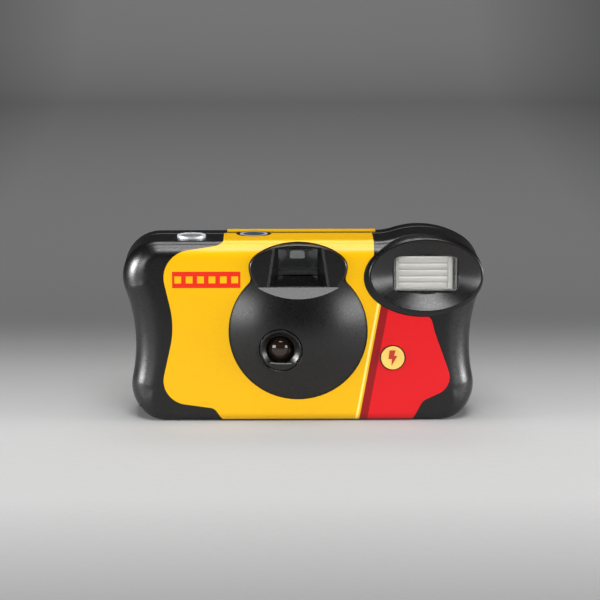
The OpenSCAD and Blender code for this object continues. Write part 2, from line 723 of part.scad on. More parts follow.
// Floor under the roll of film, cut straight along the film
module roll_floor_disc(z) {
    difference() {
        bar_z(roll_c, roll_r + roll_gap + chamber_wall, z, z + 1.2);
        block([roll_c.x - 2 * roll_r, gate_y, z - eps], [roll_c.x + 2 * roll_r, back_y, z + 2]);
    }
}
// Deck over the film
module deck() {
    block([cart_x - cart_r - 1, plate_y, deck_z], [roll_c.x - roll_r - 3, gate_y - 1, deck_top]);
}
// Rib with a round seat that cradles the battery from behind
module battery_saddle(x) {
    translate([x, 0, 0]) rotate([90, 0, 90]) linear_extrude(1.6) difference() {
        translate([plate_y + 0.2, wall + seat])
            square([battery_c.x + battery_r + 4 - plate_y, battery_c.y + battery_r + 3]);
        translate(battery_c) circle(battery_r + 0.2);
    }
}
module taking_lens() color("#8fa6b8") {
    // Plano-convex lens with a flat rim
    turned_y(lens_c, lens_seat_y + lens_t) intersection() {
        translate([0, lens_t + 0.6 - 14]) circle(14, $fn = 96);
        square([lens_d / 2, lens_t + 1]);
    }
}
module lens_retainer() color("#2e2e30") difference() {
    r = lens_d / 2 + 0.5;
    union() {
        along_y(holder_y, holder_y + holder_t)
            hull() for (p = holder_posts) translate(p) circle(2.4, $fn = 32);
        bar_y(lens_c, r, lens_seat_y + lens_t + seat, holder_y + holder_t);
    }
    bar_y(lens_c, 3.4, lens_seat_y, holder_y + holder_t + eps);
    bar_y(blade_pivot, post_r + post_gap, holder_y - eps, holder_y + holder_t + eps);
}
module shutter_blade() color("#1c1c1e") difference() {
    hub_r = 1.8;
    tab_r = 0.6;
    along_y(blade_y, blade_y + blade_t) {
        hub(blade_pivot, hub_r);
        hub(lens_c, blade_disc_r);
        hub(blade_tab, tab_r);
        arm(blade_pivot, lens_c, hub_r, blade_disc_r);
        arm(blade_pivot, blade_tab, hub_r, tab_r);
    }
    bar_y(blade_pivot, post_r + post_gap, blade_y - eps, blade_y + blade_t + eps);
}
module shutter_spring() color("#b9bcc0")
    translate([blade_pivot.x, plate_y - 0.1, blade_pivot.y]) rotate([90, 0, 0])
        coil(1.5, 0.18, 2, plate_y - blade_y - blade_t - 0.2);
module striker() color("#c9ccd0") difference() {
    nose = [blade_tab.x - 1.95, blade_y + 0.6];
    tail = striker_c + [-1.6, 3.6];
    tip_r = 0.9;
    along_z(striker_z, striker_z + lever_t) {
        hub(striker_c, lever_hub_r);
        hub(nose, tip_r);
        hub(tail, tip_r);
        arm(striker_c, nose, lever_hub_r, tip_r);
        arm(striker_c, tail, lever_hub_r, tip_r);
    }
    bar_z(striker_c, post_r + post_gap, striker_z - eps, striker_z + lever_t + eps);
}
module striker_spring() color("#b9bcc0")
    translate([striker_c.x, striker_c.y, deck_top + 0.1]) coil(1.5, 0.18, 3, striker_z - deck_top - 0.2);
module metering_lever() color("#d9dadc") difference() {
    pawl = [cart_x + wheel_r + 0.9, metering_c.y];
    pawl_r = 0.5;
    pad_r = 1;
    along_z(metering_z, metering_z + lever_t) {
        hub(metering_c, lever_hub_r);
        hub(pawl, pawl_r);
        hub(release_c, pad_r);
        arm(metering_c, pawl, lever_hub_r, pawl_r);
        arm(metering_c, release_c, lever_hub_r, pad_r);
    }
    bar_z(metering_c, post_r + post_gap, metering_z - eps, metering_z + lever_t + eps);
}
module metering_spring() color("#b9bcc0")
    translate([metering_c.x, metering_c.y, metering_z + lever_t + 0.1])
        coil(1.5, 0.18, 3, keeper_z - metering_z - lever_t - 0.2);
module keeper_plate() color("#2e2e30") difference() {
    boss_r = 2.2;
    along_z(keeper_z, keeper_z + keeper_t) {
        hub(dial_c, boss_r);
        hub(striker_c, boss_r);
        hub(metering_c, boss_r);
        arm(dial_c, striker_c, boss_r, boss_r);
        arm(dial_c, metering_c, boss_r, boss_r);
    }
    for (p = [striker_c, metering_c, dial_c])
        bar_z(p, post_r + post_gap, keeper_z - eps, keeper_z + keeper_t + eps);
}
// Outline of a wheel with pointed teeth
function toothed(n, tip_r, root_r) = [
    for (i = [0 : 2 * n - 1]) let (r = i % 2 == 0 ? tip_r : root_r) r * [cos(180 * i / n), sin(180 * i / n)]
];
module thumbwheel() color("#1f1f21") translate([cart_x, cart_y, 0]) {
    fork_z = cart_top - 2.6;
    difference() {
        union() {
            translate([0, 0, wheel_z]) linear_extrude(wheel_h)
                polygon(toothed(wheel_teeth, wheel_r, wheel_r - 0.6));
            translate([0, 0, deck_z - 0.3]) cylinder(r = wheel_hub_r, h = wheel_z - deck_z + 0.3 + eps);
            translate([0, 0, fork_z]) cylinder(r = fork_r, h = deck_z - fork_z);
        }
        translate([0, 0, wheel_top - 2]) difference() {
            cylinder(r = wheel_r - 2.4, h = 3);
            translate([0, 0, -eps]) cylinder(r = wheel_hub_r, h = 4);
        }
        translate([-4, -0.9, fork_z - eps]) cube([8, 1.8, 2 + eps]);
    }
}
module cartridge_shell() color("#3d3d40") {
    lip_x = gate_left - 0.3;
    lip_t = 0.6;
    slot = film_t / 2 + 0.12;
    difference() {
        union() {
            bar_z(cart_c, cart_r - 0.4, cart_z + cap_t + seat, cart_top - cap_t - seat);
            block([cart_x, film_y - slot - lip_t, cart_z + 1.5],
                  [lip_x, film_y + slot + lip_t, cart_top - 1.5]);
        }
        bar_z(cart_c, cart_r - 0.9, cart_z, cart_top);
        block([cart_x, film_y - slot, film_z - 0.3], [lip_x + eps, film_y + slot, film_z + film_w + 0.3]);
    }
}
module cartridge_caps() color("#8d9094") for (z = [cart_z, cart_top - cap_t]) difference() {
    bar_z(cart_c, cart_r, z, z + cap_t);
    bar_z(cart_c, spool_end_r + run_gap, z - eps, z + cap_t + eps);
}
module cartridge_spool() color("#26262a") difference() {
    union() {
        bar_z(cart_c, spool_end_r, cart_z - 0.8, cart_top + 0.4);
        bar_z(cart_c, wound_r, cart_z + 1.4, cart_top - 1.4);
    }
    difference() {
        bar_z(cart_c, fork_r + 0.3, cart_top - 3, cart_top + eps);
        block([cart_x - 4, cart_y - 0.7, cart_top - 3 - eps], [cart_x + 4, cart_y + 0.7, cart_top - 1]);
    }
}
module film_roll() color("#5b5560") difference() {
    bar_z(roll_c, roll_r, film_z, film_z + film_w);
    bar_z(roll_c, roll_core_r, film_z - eps, film_z + film_w + eps);
}
module film_strip() color("#7a6f6a") {
    left = cart_x + 2;
    right = roll_c.x + 1;
    difference() {
        block([left, film_y - film_t / 2, film_z], [right, film_y + film_t / 2, film_z + film_w]);
        for (k = [-3 : 3], z = [film_z + 2, film_z + film_w - 2])
            block([sprocket_c.x + k * perf_pitch - 1, film_y - eps, z - 1.4],
                  [sprocket_c.x + k * perf_pitch + 1, film_y + eps, z + 1.4]);
    }
}
module sprocket_wheel() color("#e2e0d8") translate([sprocket_c.x, sprocket_c.y, 0]) {
    drive_r = norm(dial_c - sprocket_c) - dial_r - run_gap;
    shaft_z = sprocket_z - 0.3;
    finger_r = 0.6;
    translate([0, 0, sprocket_z]) cylinder(r = sprocket_r - 0.1, h = sprocket_h);
    for (i = [0 : sprocket_teeth - 1]) rotate(90 + 360 * i / sprocket_teeth)
        translate([0, -0.6, sprocket_z + 0.2]) cube([sprocket_r + 0.9, 1.2, sprocket_h - 0.4]);
    translate([0, 0, shaft_z]) cylinder(r = sprocket_shaft_r, h = dial_z + dial_t - shaft_z);
    translate([0, 0, metering_z]) difference() {
        cylinder(r = 2.8, h = lever_t);
        translate([-1, -3.4, -eps]) cube([2, 1.4, lever_t + 1]);
    }
    along_z(dial_z, dial_z + dial_t - 0.1) {
        hub([0, -drive_r + finger_r], finger_r);
        arm([0, 0], [0, -drive_r + finger_r], sprocket_shaft_r, finger_r);
    }
}
module counter_dial() color("#ececec") difference() {
    teeth = 36;
    translate([dial_c.x, dial_c.y, dial_z]) linear_extrude(dial_t)
        polygon(toothed(teeth, dial_r, dial_r - 0.5));
    bar_z(dial_c, post_r + post_gap, dial_z - eps, dial_z + dial_t + eps);
}
module shutter_button() color("#c3c7cc") {
    r = shutter_button_d / 2;
    top = body_h + 0.7;
    dish_r = 24;
    difference() {
        union() {
            bar_z(shutter_c, r, button_arm_z, top);
            along_z(button_arm_z, button_arm_z + button_arm_t) {
                hub(shutter_c, r + 0.6);
                hub(release_c, 1.2);
                arm(shutter_c, release_c, r + 0.6, 1.2);
            }
            bar_z(release_c, release_r, metering_z + lever_t + 0.3 + shutter_travel, button_arm_z + 0.2);
        }
        translate([shutter_c.x, shutter_c.y, top + dish_r - 0.4]) sphere(dish_r, $fn = 96);
    }
}
module counter_window() color("#c9d3d6")
    bar_z(counter_c, counter_window_d / 2, top_in + 0.2, body_h + glue + label_t);
module viewfinder_front_lens() color("#bcd0dc") {
    curve_r = 30;
    hollow = 0.7;
    difference() {
        block([finder_x - finder_w / 2, finder_y, finder_z],
              [finder_x + finder_w / 2, finder_y + finder_t, finder_z + finder_h]);
        translate([finder_x, finder_y - curve_r + hollow, finder_z + finder_h / 2])
            sphere(curve_r, $fn = 240);
    }
}
module viewfinder_rear_lens() color("#bcd0dc") intersection() {
    along_y(back_in - eyepiece_t + 0.8, back_in + 0.8 - seat) translate(eyepiece_c)
        square([eyepiece_w, eyepiece_h], center = true);
    translate([eyepiece_c.x, back_in + 0.8 - 14 + 0.1, eyepiece_c.y]) sphere(14, $fn = 96);
}
module flash_lens() color("#e8edf0") difference() {
    ribs = 9;
    along_y(flash_lens_y, flash_lens_y + flash_lens_t) polygon(pane(-seat));
    for (i = [0 : ribs - 1])
        translate([flash_c.x, flash_lens_y - 0.1, flash_c.y + (i - (ribs - 1) / 2) * (flash_h - 2) / ribs])
            rotate([0, 90, 0]) cylinder(r = 0.4, h = flash_w - 3, center = true, $fn = 24);
}
// Trough of parabolic section behind the flash window, open to the front
module flash_reflector() color("#d5d8dc") {
    y0 = flash_lens_y + flash_lens_t + seat;
    half = flash_h / 2 - 0.6;
    skin = 0.5;
    length = flash_w - 1;
    rear = [for (i = [-8 : 8]) let (t = i / 8) [y0 + reflector_d * (1 - t * t), half * t]];
    inner = [for (p = rear) [p.x - skin, p.y * (1 - skin / half)]];
    difference() {
        translate([flash_c.x - length / 2, 0, flash_c.y]) rotate([90, 0, 90])
            linear_extrude(length) polygon(rear);
        translate([flash_c.x - length / 2 + skin, 0, flash_c.y]) rotate([90, 0, 90])
            linear_extrude(length - 2 * skin)
                polygon(concat([[y0 - eps, -half]], inner, [[y0 - eps, half]]));
        translate([flash_c.x, tube_y, flash_c.y]) rotate([0, 90, 0])
            cylinder(r = tube_r + seat, h = 2 * length, center = true);
    }
}
module flash_tube() color("#dfe6ea") translate([flash_c.x, tube_y, flash_c.y]) rotate([0, 90, 0]) {
    cylinder(r = tube_r, h = flash_w + 3, center = true);
    for (side = [-1, 1]) translate([0, 0, side * (flash_w / 2 + 2)])
        cylinder(r = 0.5, h = 3, center = true);
}
module flash_board() color("#2f6b3c")
    block([board_x, board_y, board_z], [board_x + board_w, board_y + board_t, board_z + board_h]);
module main_capacitor() color("#20242c") {
    low = capacitor_top - capacitor_l;
    bung = 1.2;
    bar_z(capacitor_c, capacitor_r, low + bung, capacitor_top);
    bar_z(capacitor_c, capacitor_r - 0.7, low, low + bung + eps);
}
module transformer() color("#4a4038") {
    top = capacitor_top - capacitor_l - 0.6;
    size = [9, 8, top - board_z - 0.3];
    y0 = board_y + board_t + seat;
    x0 = capacitor_c.x - size.x / 2 - 0.9;
    difference() {
        block([x0, y0, board_z + 0.3], [x0 + size.x, y0 + size.y, top]);
        for (side = [-1, 1]) translate([x0 + size.x / 2 + side * size.x / 2, y0 + size.y / 2, board_z])
            cylinder(r = 1.6, h = size.z + 2);
    }
}
module trigger_coil() color("#7a4a2c") {
    c = [board_y - seat - 1.7, board_z + board_h - 5];
    x0 = board_x + board_w - 10;
    translate([x0, c.x, c.y]) rotate([0, 90, 0]) {
        cylinder(r = 1.4, h = 7);
        for (x = [0, 6.2]) translate([0, 0, x]) cylinder(r = 1.7, h = 0.8);
    }
}
module ready_lamp() color("#e9b48a") {
    bar_y(lamp_c, lamp_r, back_in - 8.5, back_in - 2.6);
    translate([lamp_c.x, back_in - 2.6, lamp_c.y]) sphere(lamp_r);
}
module ready_window() color("#e8a13a") bar_y(lamp_c, lamp_r + 0.4, back_in - 0.8, back_y + glue + label_t);
module charge_contact() color("#c8a24a") {
    leaf_y = button_stem_y + flash_travel + 0.1;
    block([button_c.x - 1.2, leaf_y, button_c.y - 3], [button_c.x + 7, leaf_y + 0.25, button_c.y + 3]);
    block([button_c.x + 5, leaf_y, button_c.y - 3], [button_c.x + 7, board_y - seat, button_c.y + 3]);
}
module sync_contact() color("#c8a24a") {
    z = [lens_c.y + 8, lens_c.y + 9.6];
    block([lens_c.x + 8, plate_y - 0.35, z[0]], [board_x + 3, plate_y - seat, z[1]]);
    block([board_x + 1, plate_y - 0.35, z[0]], [board_x + 3, board_y - seat, z[1]]);
}
module flash_button() color("#f4e7a0") {
    r = flash_button_d / 2;
    difference() {
        union() {
            bar_y(button_c, r, front_y - button_out, front_in + 0.2);
            bar_y(button_c, r + 0.7, front_in + 0.15, front_in + 0.9);
            bar_y(button_c, 1.6, front_in + 0.5, button_stem_y);
        }
        translate([button_c.x, front_y - button_out - 15.7, button_c.y]) sphere(16, $fn = 96);
    }
}
module battery() color("#b08d57") translate([battery_x, battery_c.x, battery_c.y]) rotate([0, 90, 0]) {
    cylinder(r = battery_r, h = battery_l);
    cylinder(r = 1.9, h = battery_l + nub_l);
}
// Contact strip at one end of the battery, with a pressed dimple that meets it; side = -1 minus, 1 plus
module battery_contact(side) {
    x = side < 0 ? battery_x : battery_x + battery_l + nub_l;
    outer = x + side * (0.7 + contact_t);
    block([min(outer, outer - side * contact_t), battery_c.x - 3, wall + seat],
          [max(outer, outer - side * contact_t), battery_c.x + 3, battery_c.y + 3]);
    translate([x + side * (0.4 + seat), battery_c.x, battery_c.y]) rotate([0, 90, 0])
        cylinder(r = 1.5, h = 0.8, center = true);
}
module battery_contact_plus() color("#c3c7cc") battery_contact(1);
module battery_contact_minus() color("#c3c7cc") battery_contact(-1);
front_cover();
rear_cover();
front_label();
rear_label();
film_door();
main_frame();
taking_lens();
lens_retainer();
shutter_blade();
shutter_spring();
striker();
striker_spring();
metering_lever();
metering_spring();
keeper_plate();
thumbwheel();
cartridge_shell();
cartridge_caps();
cartridge_spool();
film_roll();
film_strip();
sprocket_wheel();
counter_dial();
shutter_button();
counter_window();
viewfinder_front_lens();
viewfinder_rear_lens();
flash_lens();
flash_reflector();
flash_tube();
flash_board();
main_capacitor();
transformer();
trigger_coil();
ready_lamp();
ready_window();
charge_contact();
sync_contact();
flash_button();
battery();
battery_contact_plus();
battery_contact_minus();
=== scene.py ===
"""Single-use film camera with a built-in flash.

Smooth covers, die-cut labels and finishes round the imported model, on a paper sweep under soft lamps."""

import bmesh
import bpy
import numpy as np
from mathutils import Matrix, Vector


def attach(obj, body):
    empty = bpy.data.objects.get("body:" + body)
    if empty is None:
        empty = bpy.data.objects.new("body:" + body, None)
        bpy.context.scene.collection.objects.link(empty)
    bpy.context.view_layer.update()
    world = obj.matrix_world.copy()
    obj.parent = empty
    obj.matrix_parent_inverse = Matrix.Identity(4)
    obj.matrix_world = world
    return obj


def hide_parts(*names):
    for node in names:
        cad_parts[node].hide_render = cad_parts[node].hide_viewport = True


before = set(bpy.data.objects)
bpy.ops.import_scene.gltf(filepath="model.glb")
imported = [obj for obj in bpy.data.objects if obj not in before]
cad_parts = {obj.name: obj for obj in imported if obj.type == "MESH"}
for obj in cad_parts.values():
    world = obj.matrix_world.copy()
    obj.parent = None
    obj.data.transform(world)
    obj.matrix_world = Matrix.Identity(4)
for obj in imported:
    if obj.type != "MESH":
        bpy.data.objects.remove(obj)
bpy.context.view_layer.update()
MM = 0.001

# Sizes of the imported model, in millimetres; places are (x, z) on the front and back, and (x, y) on the top
FRONT_Y, SEAM_Y, BACK_Y = -12.425, 7.075, 17.575
FRONT_IN, BACK_IN, TOP_IN, BODY_H = -10.825, 15.975, 57.65, 59.25
WALL, SEAM_GAP, RUN_GAP, SEAT = 1.6, 0.1, 0.15, 0.05
GLUE, LABEL_T, LABEL_GAP = 0.05, 0.3, 0.3
# By face: the edge's radius at the sides and on top, and the depth of the face
EDGE = {-1: (9.0, 5.0, FRONT_Y), 1: (6.0, 4.0, BACK_Y)}
BASE_EDGE = 3.0
DOME_C, DOME_R, DOME_OUT, DOME_SPHERE, DOME_HOLLOW_R = (-1.6, 30.025), 22.4, 5.5, 48.36, 22.0
CROWN_Y = FRONT_Y - DOME_OUT
SHELF_TOP, SHELF_DOWN, SHELF_OUT = 44.8, 6.4, 5.6
LENS_C, LENS_OUT, LENS_SEAT_Y, LENS_D, LENS_FLANGE = (-7.4, 24.525), 4.835, -13.66, 10.4, 1.8
SINK_R = 7.0
HOOD_C, HOOD_HALF_W, HOOD_UP, HOOD_DOWN, HOOD_FACE = (-1.6, 51.4), 15.8, 7.5, 11.5, -13.625
FINDER_Y, FINDER_D, FINDER_FROM, FINDER_TO = -8.025, 2.4, (-8.8, 46.7), (5.6, 57.3)
POD_C, POD_HALF, POD_RIM, POD_FACE = (40.0, 48.45), (18.6, 12.2), 0.9, -13.425
DISH_D, DISH_FLOOR = 3.2, 1.4
SKIRT_C, SKIRT_HALF, SKIRT = (39.3, 47.85), (19.3, 12.8), (1.4, 1.2)
FLASH_W, FLASH_H = 21.6, 12.4
BUTTON_C, BUTTON_R, BUTTON_Y, BUTTON_DISH, BUTTON_BALL = (29.3, 21.225), 3.8, -13.325, 0.3, 16.0
SHUTTER_C, SHUTTER_R = (-36.4338, 0.175), 4.7
COUNTER_C, COUNTER_R = (-16.0338, 4.57711), 4.6
EYEPIECE_C, EYEPIECE_W, EYEPIECE_H = (-1.6, 52.0), 9.6, 6.4
LAMP_C, LAMP_R = (13.4, 51.15), 1.5
CART_X, SLOT_HALF, SLOT_Z = -37.2338, 10.0, (49.65, 55.25)
DIMPLE_R, DIMPLE_D = 20.0, 0.9
DOOR_FROM, DOOR_TO, DOOR_GAP, HINGE_GAP = (-59.0, -9.525, -0.5), (-24.1338, 16.075, 4.45863), 0.25, 0.6
FRONT_DIE = (
    (-24.8, 60.25, 0), (-27, 58.25, 6), (-47.3, 55.45, 9), (-41.8, 31.625, 30), (-47.3, 7, 8), (-29, 4.4, 3),
    (-26.4, 0.6, 0), (36, 0.6, 0), (39.3, 6.8, 4), (49.5, 11.5, 6), (43, 29.625, 20), (41.8, 34.4, 2.4),
    (30, 38.55, 0), (23, 48.45, 0), (23, 60.25, 0))
REAR_DIE = (
    (-24.8, 60.25, 0), (-24.8, 46.95, 4), (-46, 46.35, 6), (-43, 29.625, 30), (-46, 9, 5), (-28, 7.5, 3),
    (-24.5, 0.6, 0), (26.4, 0.6, 0), (29, 4.4, 3), (47.3, 7, 8), (44, 29.625, 30), (47.3, 53.25, 8),
    (27, 56.25, 5), (23.6, 60.25, 0))

# Finer sizes of the scene's own surfaces, in millimetres
FAR = 30  # beyond both faces
FRONT_WALL = (FRONT_Y - 0.5, FRONT_IN + 0.5)  # right through the front wall
SEAM_BEVEL = 0.2
LABEL_EDGE, LABEL_CLEAR = {-1: -1.4, 1: 2.8}, 1.2
# Sections of the finder's funnel: half widths below and above, heights of foot and top, rise of the top edge
FUNNEL_MOUTH, FUNNEL_LIP = (9.5, 7.6, 45.0, 57.6, 0.8), (9.4, 7.5, 45.1, 57.5, 0.75)
FUNNEL_END = (6.4, 6.4, 47.5, 56.5, 0)
# Ends of the finder's tunnel: depth, half width and top
TUNNEL_ENDS = ((-6.4, 6.7, 56.7), (13.9, 4.4, 55.0))
TUNNEL_LOW, TUNNEL_WALL, TUNNEL_BENDS = 50.1, 0.4, (2.2, 0.6)
EYE_FRAME, EYE_FRAME_D, PIPE_WALL = (6.0, 4.4), 1.2, 0.4
SIGHT_HALF_W, SIGHT_DOWN, SIGHT_UP, SIGHT_BEND = 3.4, 3.0, 1.6, 1.4
# The last depth is that of the near-black ring of painted shade round the lens glass
MOUTH_R, MOUTH_FOOT, MOUTH_Y, BORE_R, BEVEL_R, SHADE_RING_Y = 4.7, 4.2, -13.95, 4.05, 6.2, -14.05
LENS_FRONT_Y, LENS_BALL, LENS_FACE_R = -15.2, 5.2, 4.0
SKIRT_DEEP, SKIRT_STEP, BROW, BROW_DEEP = 0.6, 0.12, (0.25, 0.8), 6.0
BOWL_SHRINK, BOWL_POWER, BOWL_LEAD = 0.41, 1.1, 0.12
FRAME_FROM, FRAME_TO, FRAME_Y, FRAME_BEND = (30.3, 43.4), (48.9, 54.5), (-10.225, -8.625), 0.5
PANEL_FROM, PANEL_TO, RIB_FOOT_Y = (30.4, -10.15, 43.5), (48.8, -8.7, 54.4), -10.1
# Lying ribs of the flash panel: height, radius and how far they stand out
RIBS = ((44.7, 0.95, 0.3), (46.8, 1.0, 0.55), (48.9, 1.0, 0.4), (51.0, 1.0, 0.6), (53.2, 1.1, 0.35))
RIB_ENDS, UPRIGHT_X, UPRIGHT_ENDS, UPRIGHT = (31.2, 46.9), 48.0, (43.9, 54.1), (0.75, 0.6)
BEZEL_R, BEZEL_Z, BEZEL_HALF = 5.2, 59.3, (0.5, 0.35)
BOLT = ((0.9, 2.52), (-1.02, 2.52), (-1.38, -0.42), (-0.24, -0.42), (-0.42, -2.64), (1.44, 0.66), (0.42, 0.66))


# ---- Outlines and surfaces ----
def arc(centre, radius, start, stop, count, side=1):
    """Points and outward normals at even angles from start to stop degrees; a hollow arc has side -1."""
    turn = np.radians(np.linspace(start, stop, count, endpoint=False))
    way = np.stack([np.cos(turn), np.sin(turn)], -1)
    return np.asarray(centre) + radius * way, side * way


def straight(start, stop, normal, count):
    """Points at even steps along a straight edge, all with one normal."""
    share = np.linspace(0, 1, count, endpoint=False)[:, None]
    points = np.asarray(start) * (1 - share) + np.asarray(stop) * share
    return points, np.tile(np.asarray(normal, float), (count, 1))


def body_outline():
    """Outline of the body from the front: round feet, hollow waists, round shoulders and a low hump over the flash,
    as arcs that meet on shared tangents."""
    foot, waist, shoulder = np.array([45.4, 11]), np.array([107.934, 24.6209]), np.array([47, 47.25])
    hump, fillet = (38.735, 33.55), (24.0548, 79.25)
    foot_r, waist_r, shoulder_r, hump_r, fillet_r = 11, 53, 12, 28, 20
    foot_a, shoulder_a, hump_a, fillet_a = 12.288, -20.3736, 58.8981, 107.809
    left = np.array([-1, 1])
    runs = (
        arc(foot, foot_r, -90, foot_a, 18),
        arc(waist, waist_r, foot_a + 180, shoulder_a + 180, 18, -1),
        arc(shoulder, shoulder_r, shoulder_a, hump_a, 18),
        arc(hump, hump_r, hump_a, fillet_a, 20),
        arc(fillet, fillet_r, fillet_a + 180, 270, 8, -1),
        straight((fillet[0], BODY_H), (-shoulder[0], BODY_H), (0, 1), 20),
        arc(shoulder * left, shoulder_r, 90, 180 - shoulder_a, 24),
        arc(waist * left, waist_r, -shoulder_a, -foot_a, 18, -1),
        arc(foot * left, foot_r, 180 - foot_a, 270, 18),
        straight((-foot[0], 0), (foot[0], 0), (0, -1), 24))
    return np.concatenate([p for p, _ in runs]), np.concatenate([n for _, n in runs])


OUTLINE, NORMAL = body_outline()
OUTLINE *= (0.9989, 0.9998)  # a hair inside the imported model's box


def ring(out, y):
    """Outline moved outward by out and set at depth y, both given for each point."""
    flat = OUTLINE + NORMAL * np.asarray(out)[..., None]
    return np.stack([flat[..., 0], np.broadcast_to(y, flat.shape[:-1]), flat[..., 1]], -1)


def skin(face, off, steps=14):
    """Rings from a cover's flat face round its edge: a quarter circle whose radius swells towards the sides,
    r = side nx^2 + top nz^2, or base nz^2 below, after two rings inside the face that keep the face flat."""
    side, top, face_y = EDGE[face]
    r = side * NORMAL[:, 0] ** 2 + np.where(NORMAL[:, 1] > 0, top, BASE_EDGE) * NORMAL[:, 1] ** 2
    phi = np.radians(np.linspace(90, 0, steps))[:, None]
    depth = face_y + face * (off * np.sin(phi) - r * (1 - np.sin(phi)))
    edge = ring(off * np.cos(phi) - r * (1 - np.cos(phi)), depth)
    inset = np.array([[1.6], [0.8]])
    return np.concatenate([ring(-r - inset, face_y + face * off), edge])


def loft(rings):
    """Quads between neighbouring rings of equally many points, with the first and the last ring capped."""
    rings = np.asarray(rings, float)
    many, count = rings.shape[:2]
    here = np.arange(count)
    start = np.arange(many - 1)[:, None] * count
    after = (here + 1) % count
    quads = np.stack([start + here, start + after, start + count + after, start + count + here], -1)
    caps = [here.tolist(), (here + start[-1] + count).tolist()]
    return rings.reshape(-1, 3), quads.reshape(-1, 4).tolist() + caps


def cover_solid(face, off, end_y, bevel=0.0):
    """One half of the body, off mm outside its skin, from its face to depth end_y, where a bevel runs round."""
    out = np.array([[off], [off - bevel]]) + np.zeros(len(OUTLINE))
    ends = ring(out, [[end_y + face * bevel], [end_y]])
    return loft(np.concatenate([skin(face, off), ends if bevel else ends[1:]]))


def body_solid(off):
    """Both halves of the body as one solid, off mm outside its skin."""
    return loft(np.concatenate([skin(-1, off), skin(1, off)[::-1]]))


def rounded(points, count=12):
    """Outline through corners (x, z, radius), each turned by an arc that is tangent to its two edges."""
    points = np.asarray(points, float)
    xy, radius = points[:, :2], points[:, 2:]
    to_last, to_next = np.roll(xy, 1, 0) - xy, np.roll(xy, -1, 0) - xy
    to_last /= np.linalg.norm(to_last, axis=1, keepdims=True)
    to_next /= np.linalg.norm(to_next, axis=1, keepdims=True)
    half = np.arccos(np.clip((to_last * to_next).sum(1, keepdims=True), -1, 1)) / 2
    middle = to_last + to_next
    centre = xy + middle / np.linalg.norm(middle, axis=1, keepdims=True) * radius / np.sin(half)
    first = xy + to_last * radius / np.tan(half) - centre
    final = xy + to_next * radius / np.tan(half) - centre
    start = np.arctan2(first[:, 1], first[:, 0])
    turn = (np.arctan2(final[:, 1], final[:, 0]) - start + 3 * np.pi) % (2 * np.pi) - np.pi
    angle = start[:, None] + turn[:, None] * np.linspace(0, 1, count)
    path = centre[:, None] + radius[:, None] * np.stack([np.cos(angle), np.sin(angle)], -1)
    return path.reshape(-1, 2)


def round_box(low, high, bend, top_bend=None):
    """Outline of a rectangle between two corners (x, z), its corners rounded, those on top by their own radius."""
    (x0, z0), (x1, z1) = low, high
    top_bend = bend if top_bend is None else top_bend
    return rounded([(x0, z0, bend), (x1, z0, bend), (x1, z1, top_bend), (x0, z1, top_bend)])


def at_depth(outline, y):
    """Flat outline of (x, z) points as a ring at depth y."""
    return np.stack([outline[:, 0], np.full(len(outline), float(y)), outline[:, 1]], -1)


def ellipse(centre, wide, up, down=None, count=96):
    """Ellipse about a centre, with its own half height below when down is given."""
    turn = np.linspace(0, 2 * np.pi, count, endpoint=False)
    high = np.where(np.sin(turn) > 0, up, up if down is None else down)
    return np.stack([centre[0] + wide * np.cos(turn), centre[1] + high * np.sin(turn)], -1)


def pane(count=96):
    """Flash window: a superellipse of exponent 0.3, which is a rectangle with soft corners."""
    turn = np.linspace(0, 2 * np.pi, count, endpoint=False)
    c, s = np.cos(turn), np.sin(turn)
    return np.stack([POD_C[0] + FLASH_W / 2 * np.sign(c) * np.abs(c) ** 0.3,
                     POD_C[1] + FLASH_H / 2 * np.sign(s) * np.abs(s) ** 0.3], -1)


def prism(outline, y0, y1):
    """Outline of (x, z) points carried straight from depth y0 to depth y1."""
    return loft([at_depth(outline, y0), at_depth(outline, y1)])


def boss(outline, face_y, back_y, bend, steps=8):
    """Raised form: outline(grow) gives its edge, and a quarter circle of radius bend rounds its front."""
    phi = np.linspace(np.pi / 2, 0, steps)
    rings = [at_depth(outline(-bend - 0.5), face_y)]
    rings += [at_depth(outline(bend * (np.cos(a) - 1)), face_y + bend * (1 - np.sin(a))) for a in phi]
    return loft(rings + [at_depth(outline(0), back_y)])


def turned(profile, centre, upright=False, count=96):
    """Profile of (radius, place on the axis) turned about an axis along Y through (x, z), or, upright, along Z
    through (x, y)."""
    turn = np.linspace(0, 2 * np.pi, count, endpoint=False)
    profile = np.asarray(profile, float)
    u = centre[0] + profile[:, :1] * np.cos(turn)
    v = centre[1] + profile[:, :1] * np.sin(turn)
    w = np.broadcast_to(profile[:, 1:], u.shape)
    return loft(np.stack([u, v, w] if upright else [u, w, v], -1))


def bar(centre, radius, start, stop, upright=False):
    """Round bar along Y, or along Z when upright."""
    return turned([(radius, start), (radius, stop)], centre, upright)


def block(low, high):
    """Box between two corners."""
    (x0, y0, z0), (x1, y1, z1) = low, high
    return loft([[(x0, y, z0), (x1, y, z0), (x1, y, z1), (x0, y, z1)] for y in (y0, y1)])


def ring_solid(points, faces):
    """Closed ring from a turned profile that ends where it starts: the two caps of the loft fall away."""
    return solid((points, faces[:-2]))


def solid(surface, name="tool"):
    """Closed object from points in millimetres, with repeated points welded and its faces turned outward."""
    points, faces = surface
    mesh = bpy.data.meshes.new(name)
    mesh.from_pydata((np.asarray(points) * MM).tolist(), [], faces)
    work = bmesh.new()
    work.from_mesh(mesh)
    bmesh.ops.remove_doubles(work, verts=work.verts, dist=1e-8)
    bmesh.ops.recalc_face_normals(work, faces=work.faces)
    work.to_mesh(mesh)
    work.free()
    made = bpy.data.objects.new(name, mesh)
    bpy.context.scene.collection.objects.link(made)
    return made


BOOLEAN = {"join": "UNION", "cut": "DIFFERENCE", "trim": "DIFFERENCE", "keep": "INTERSECT"}


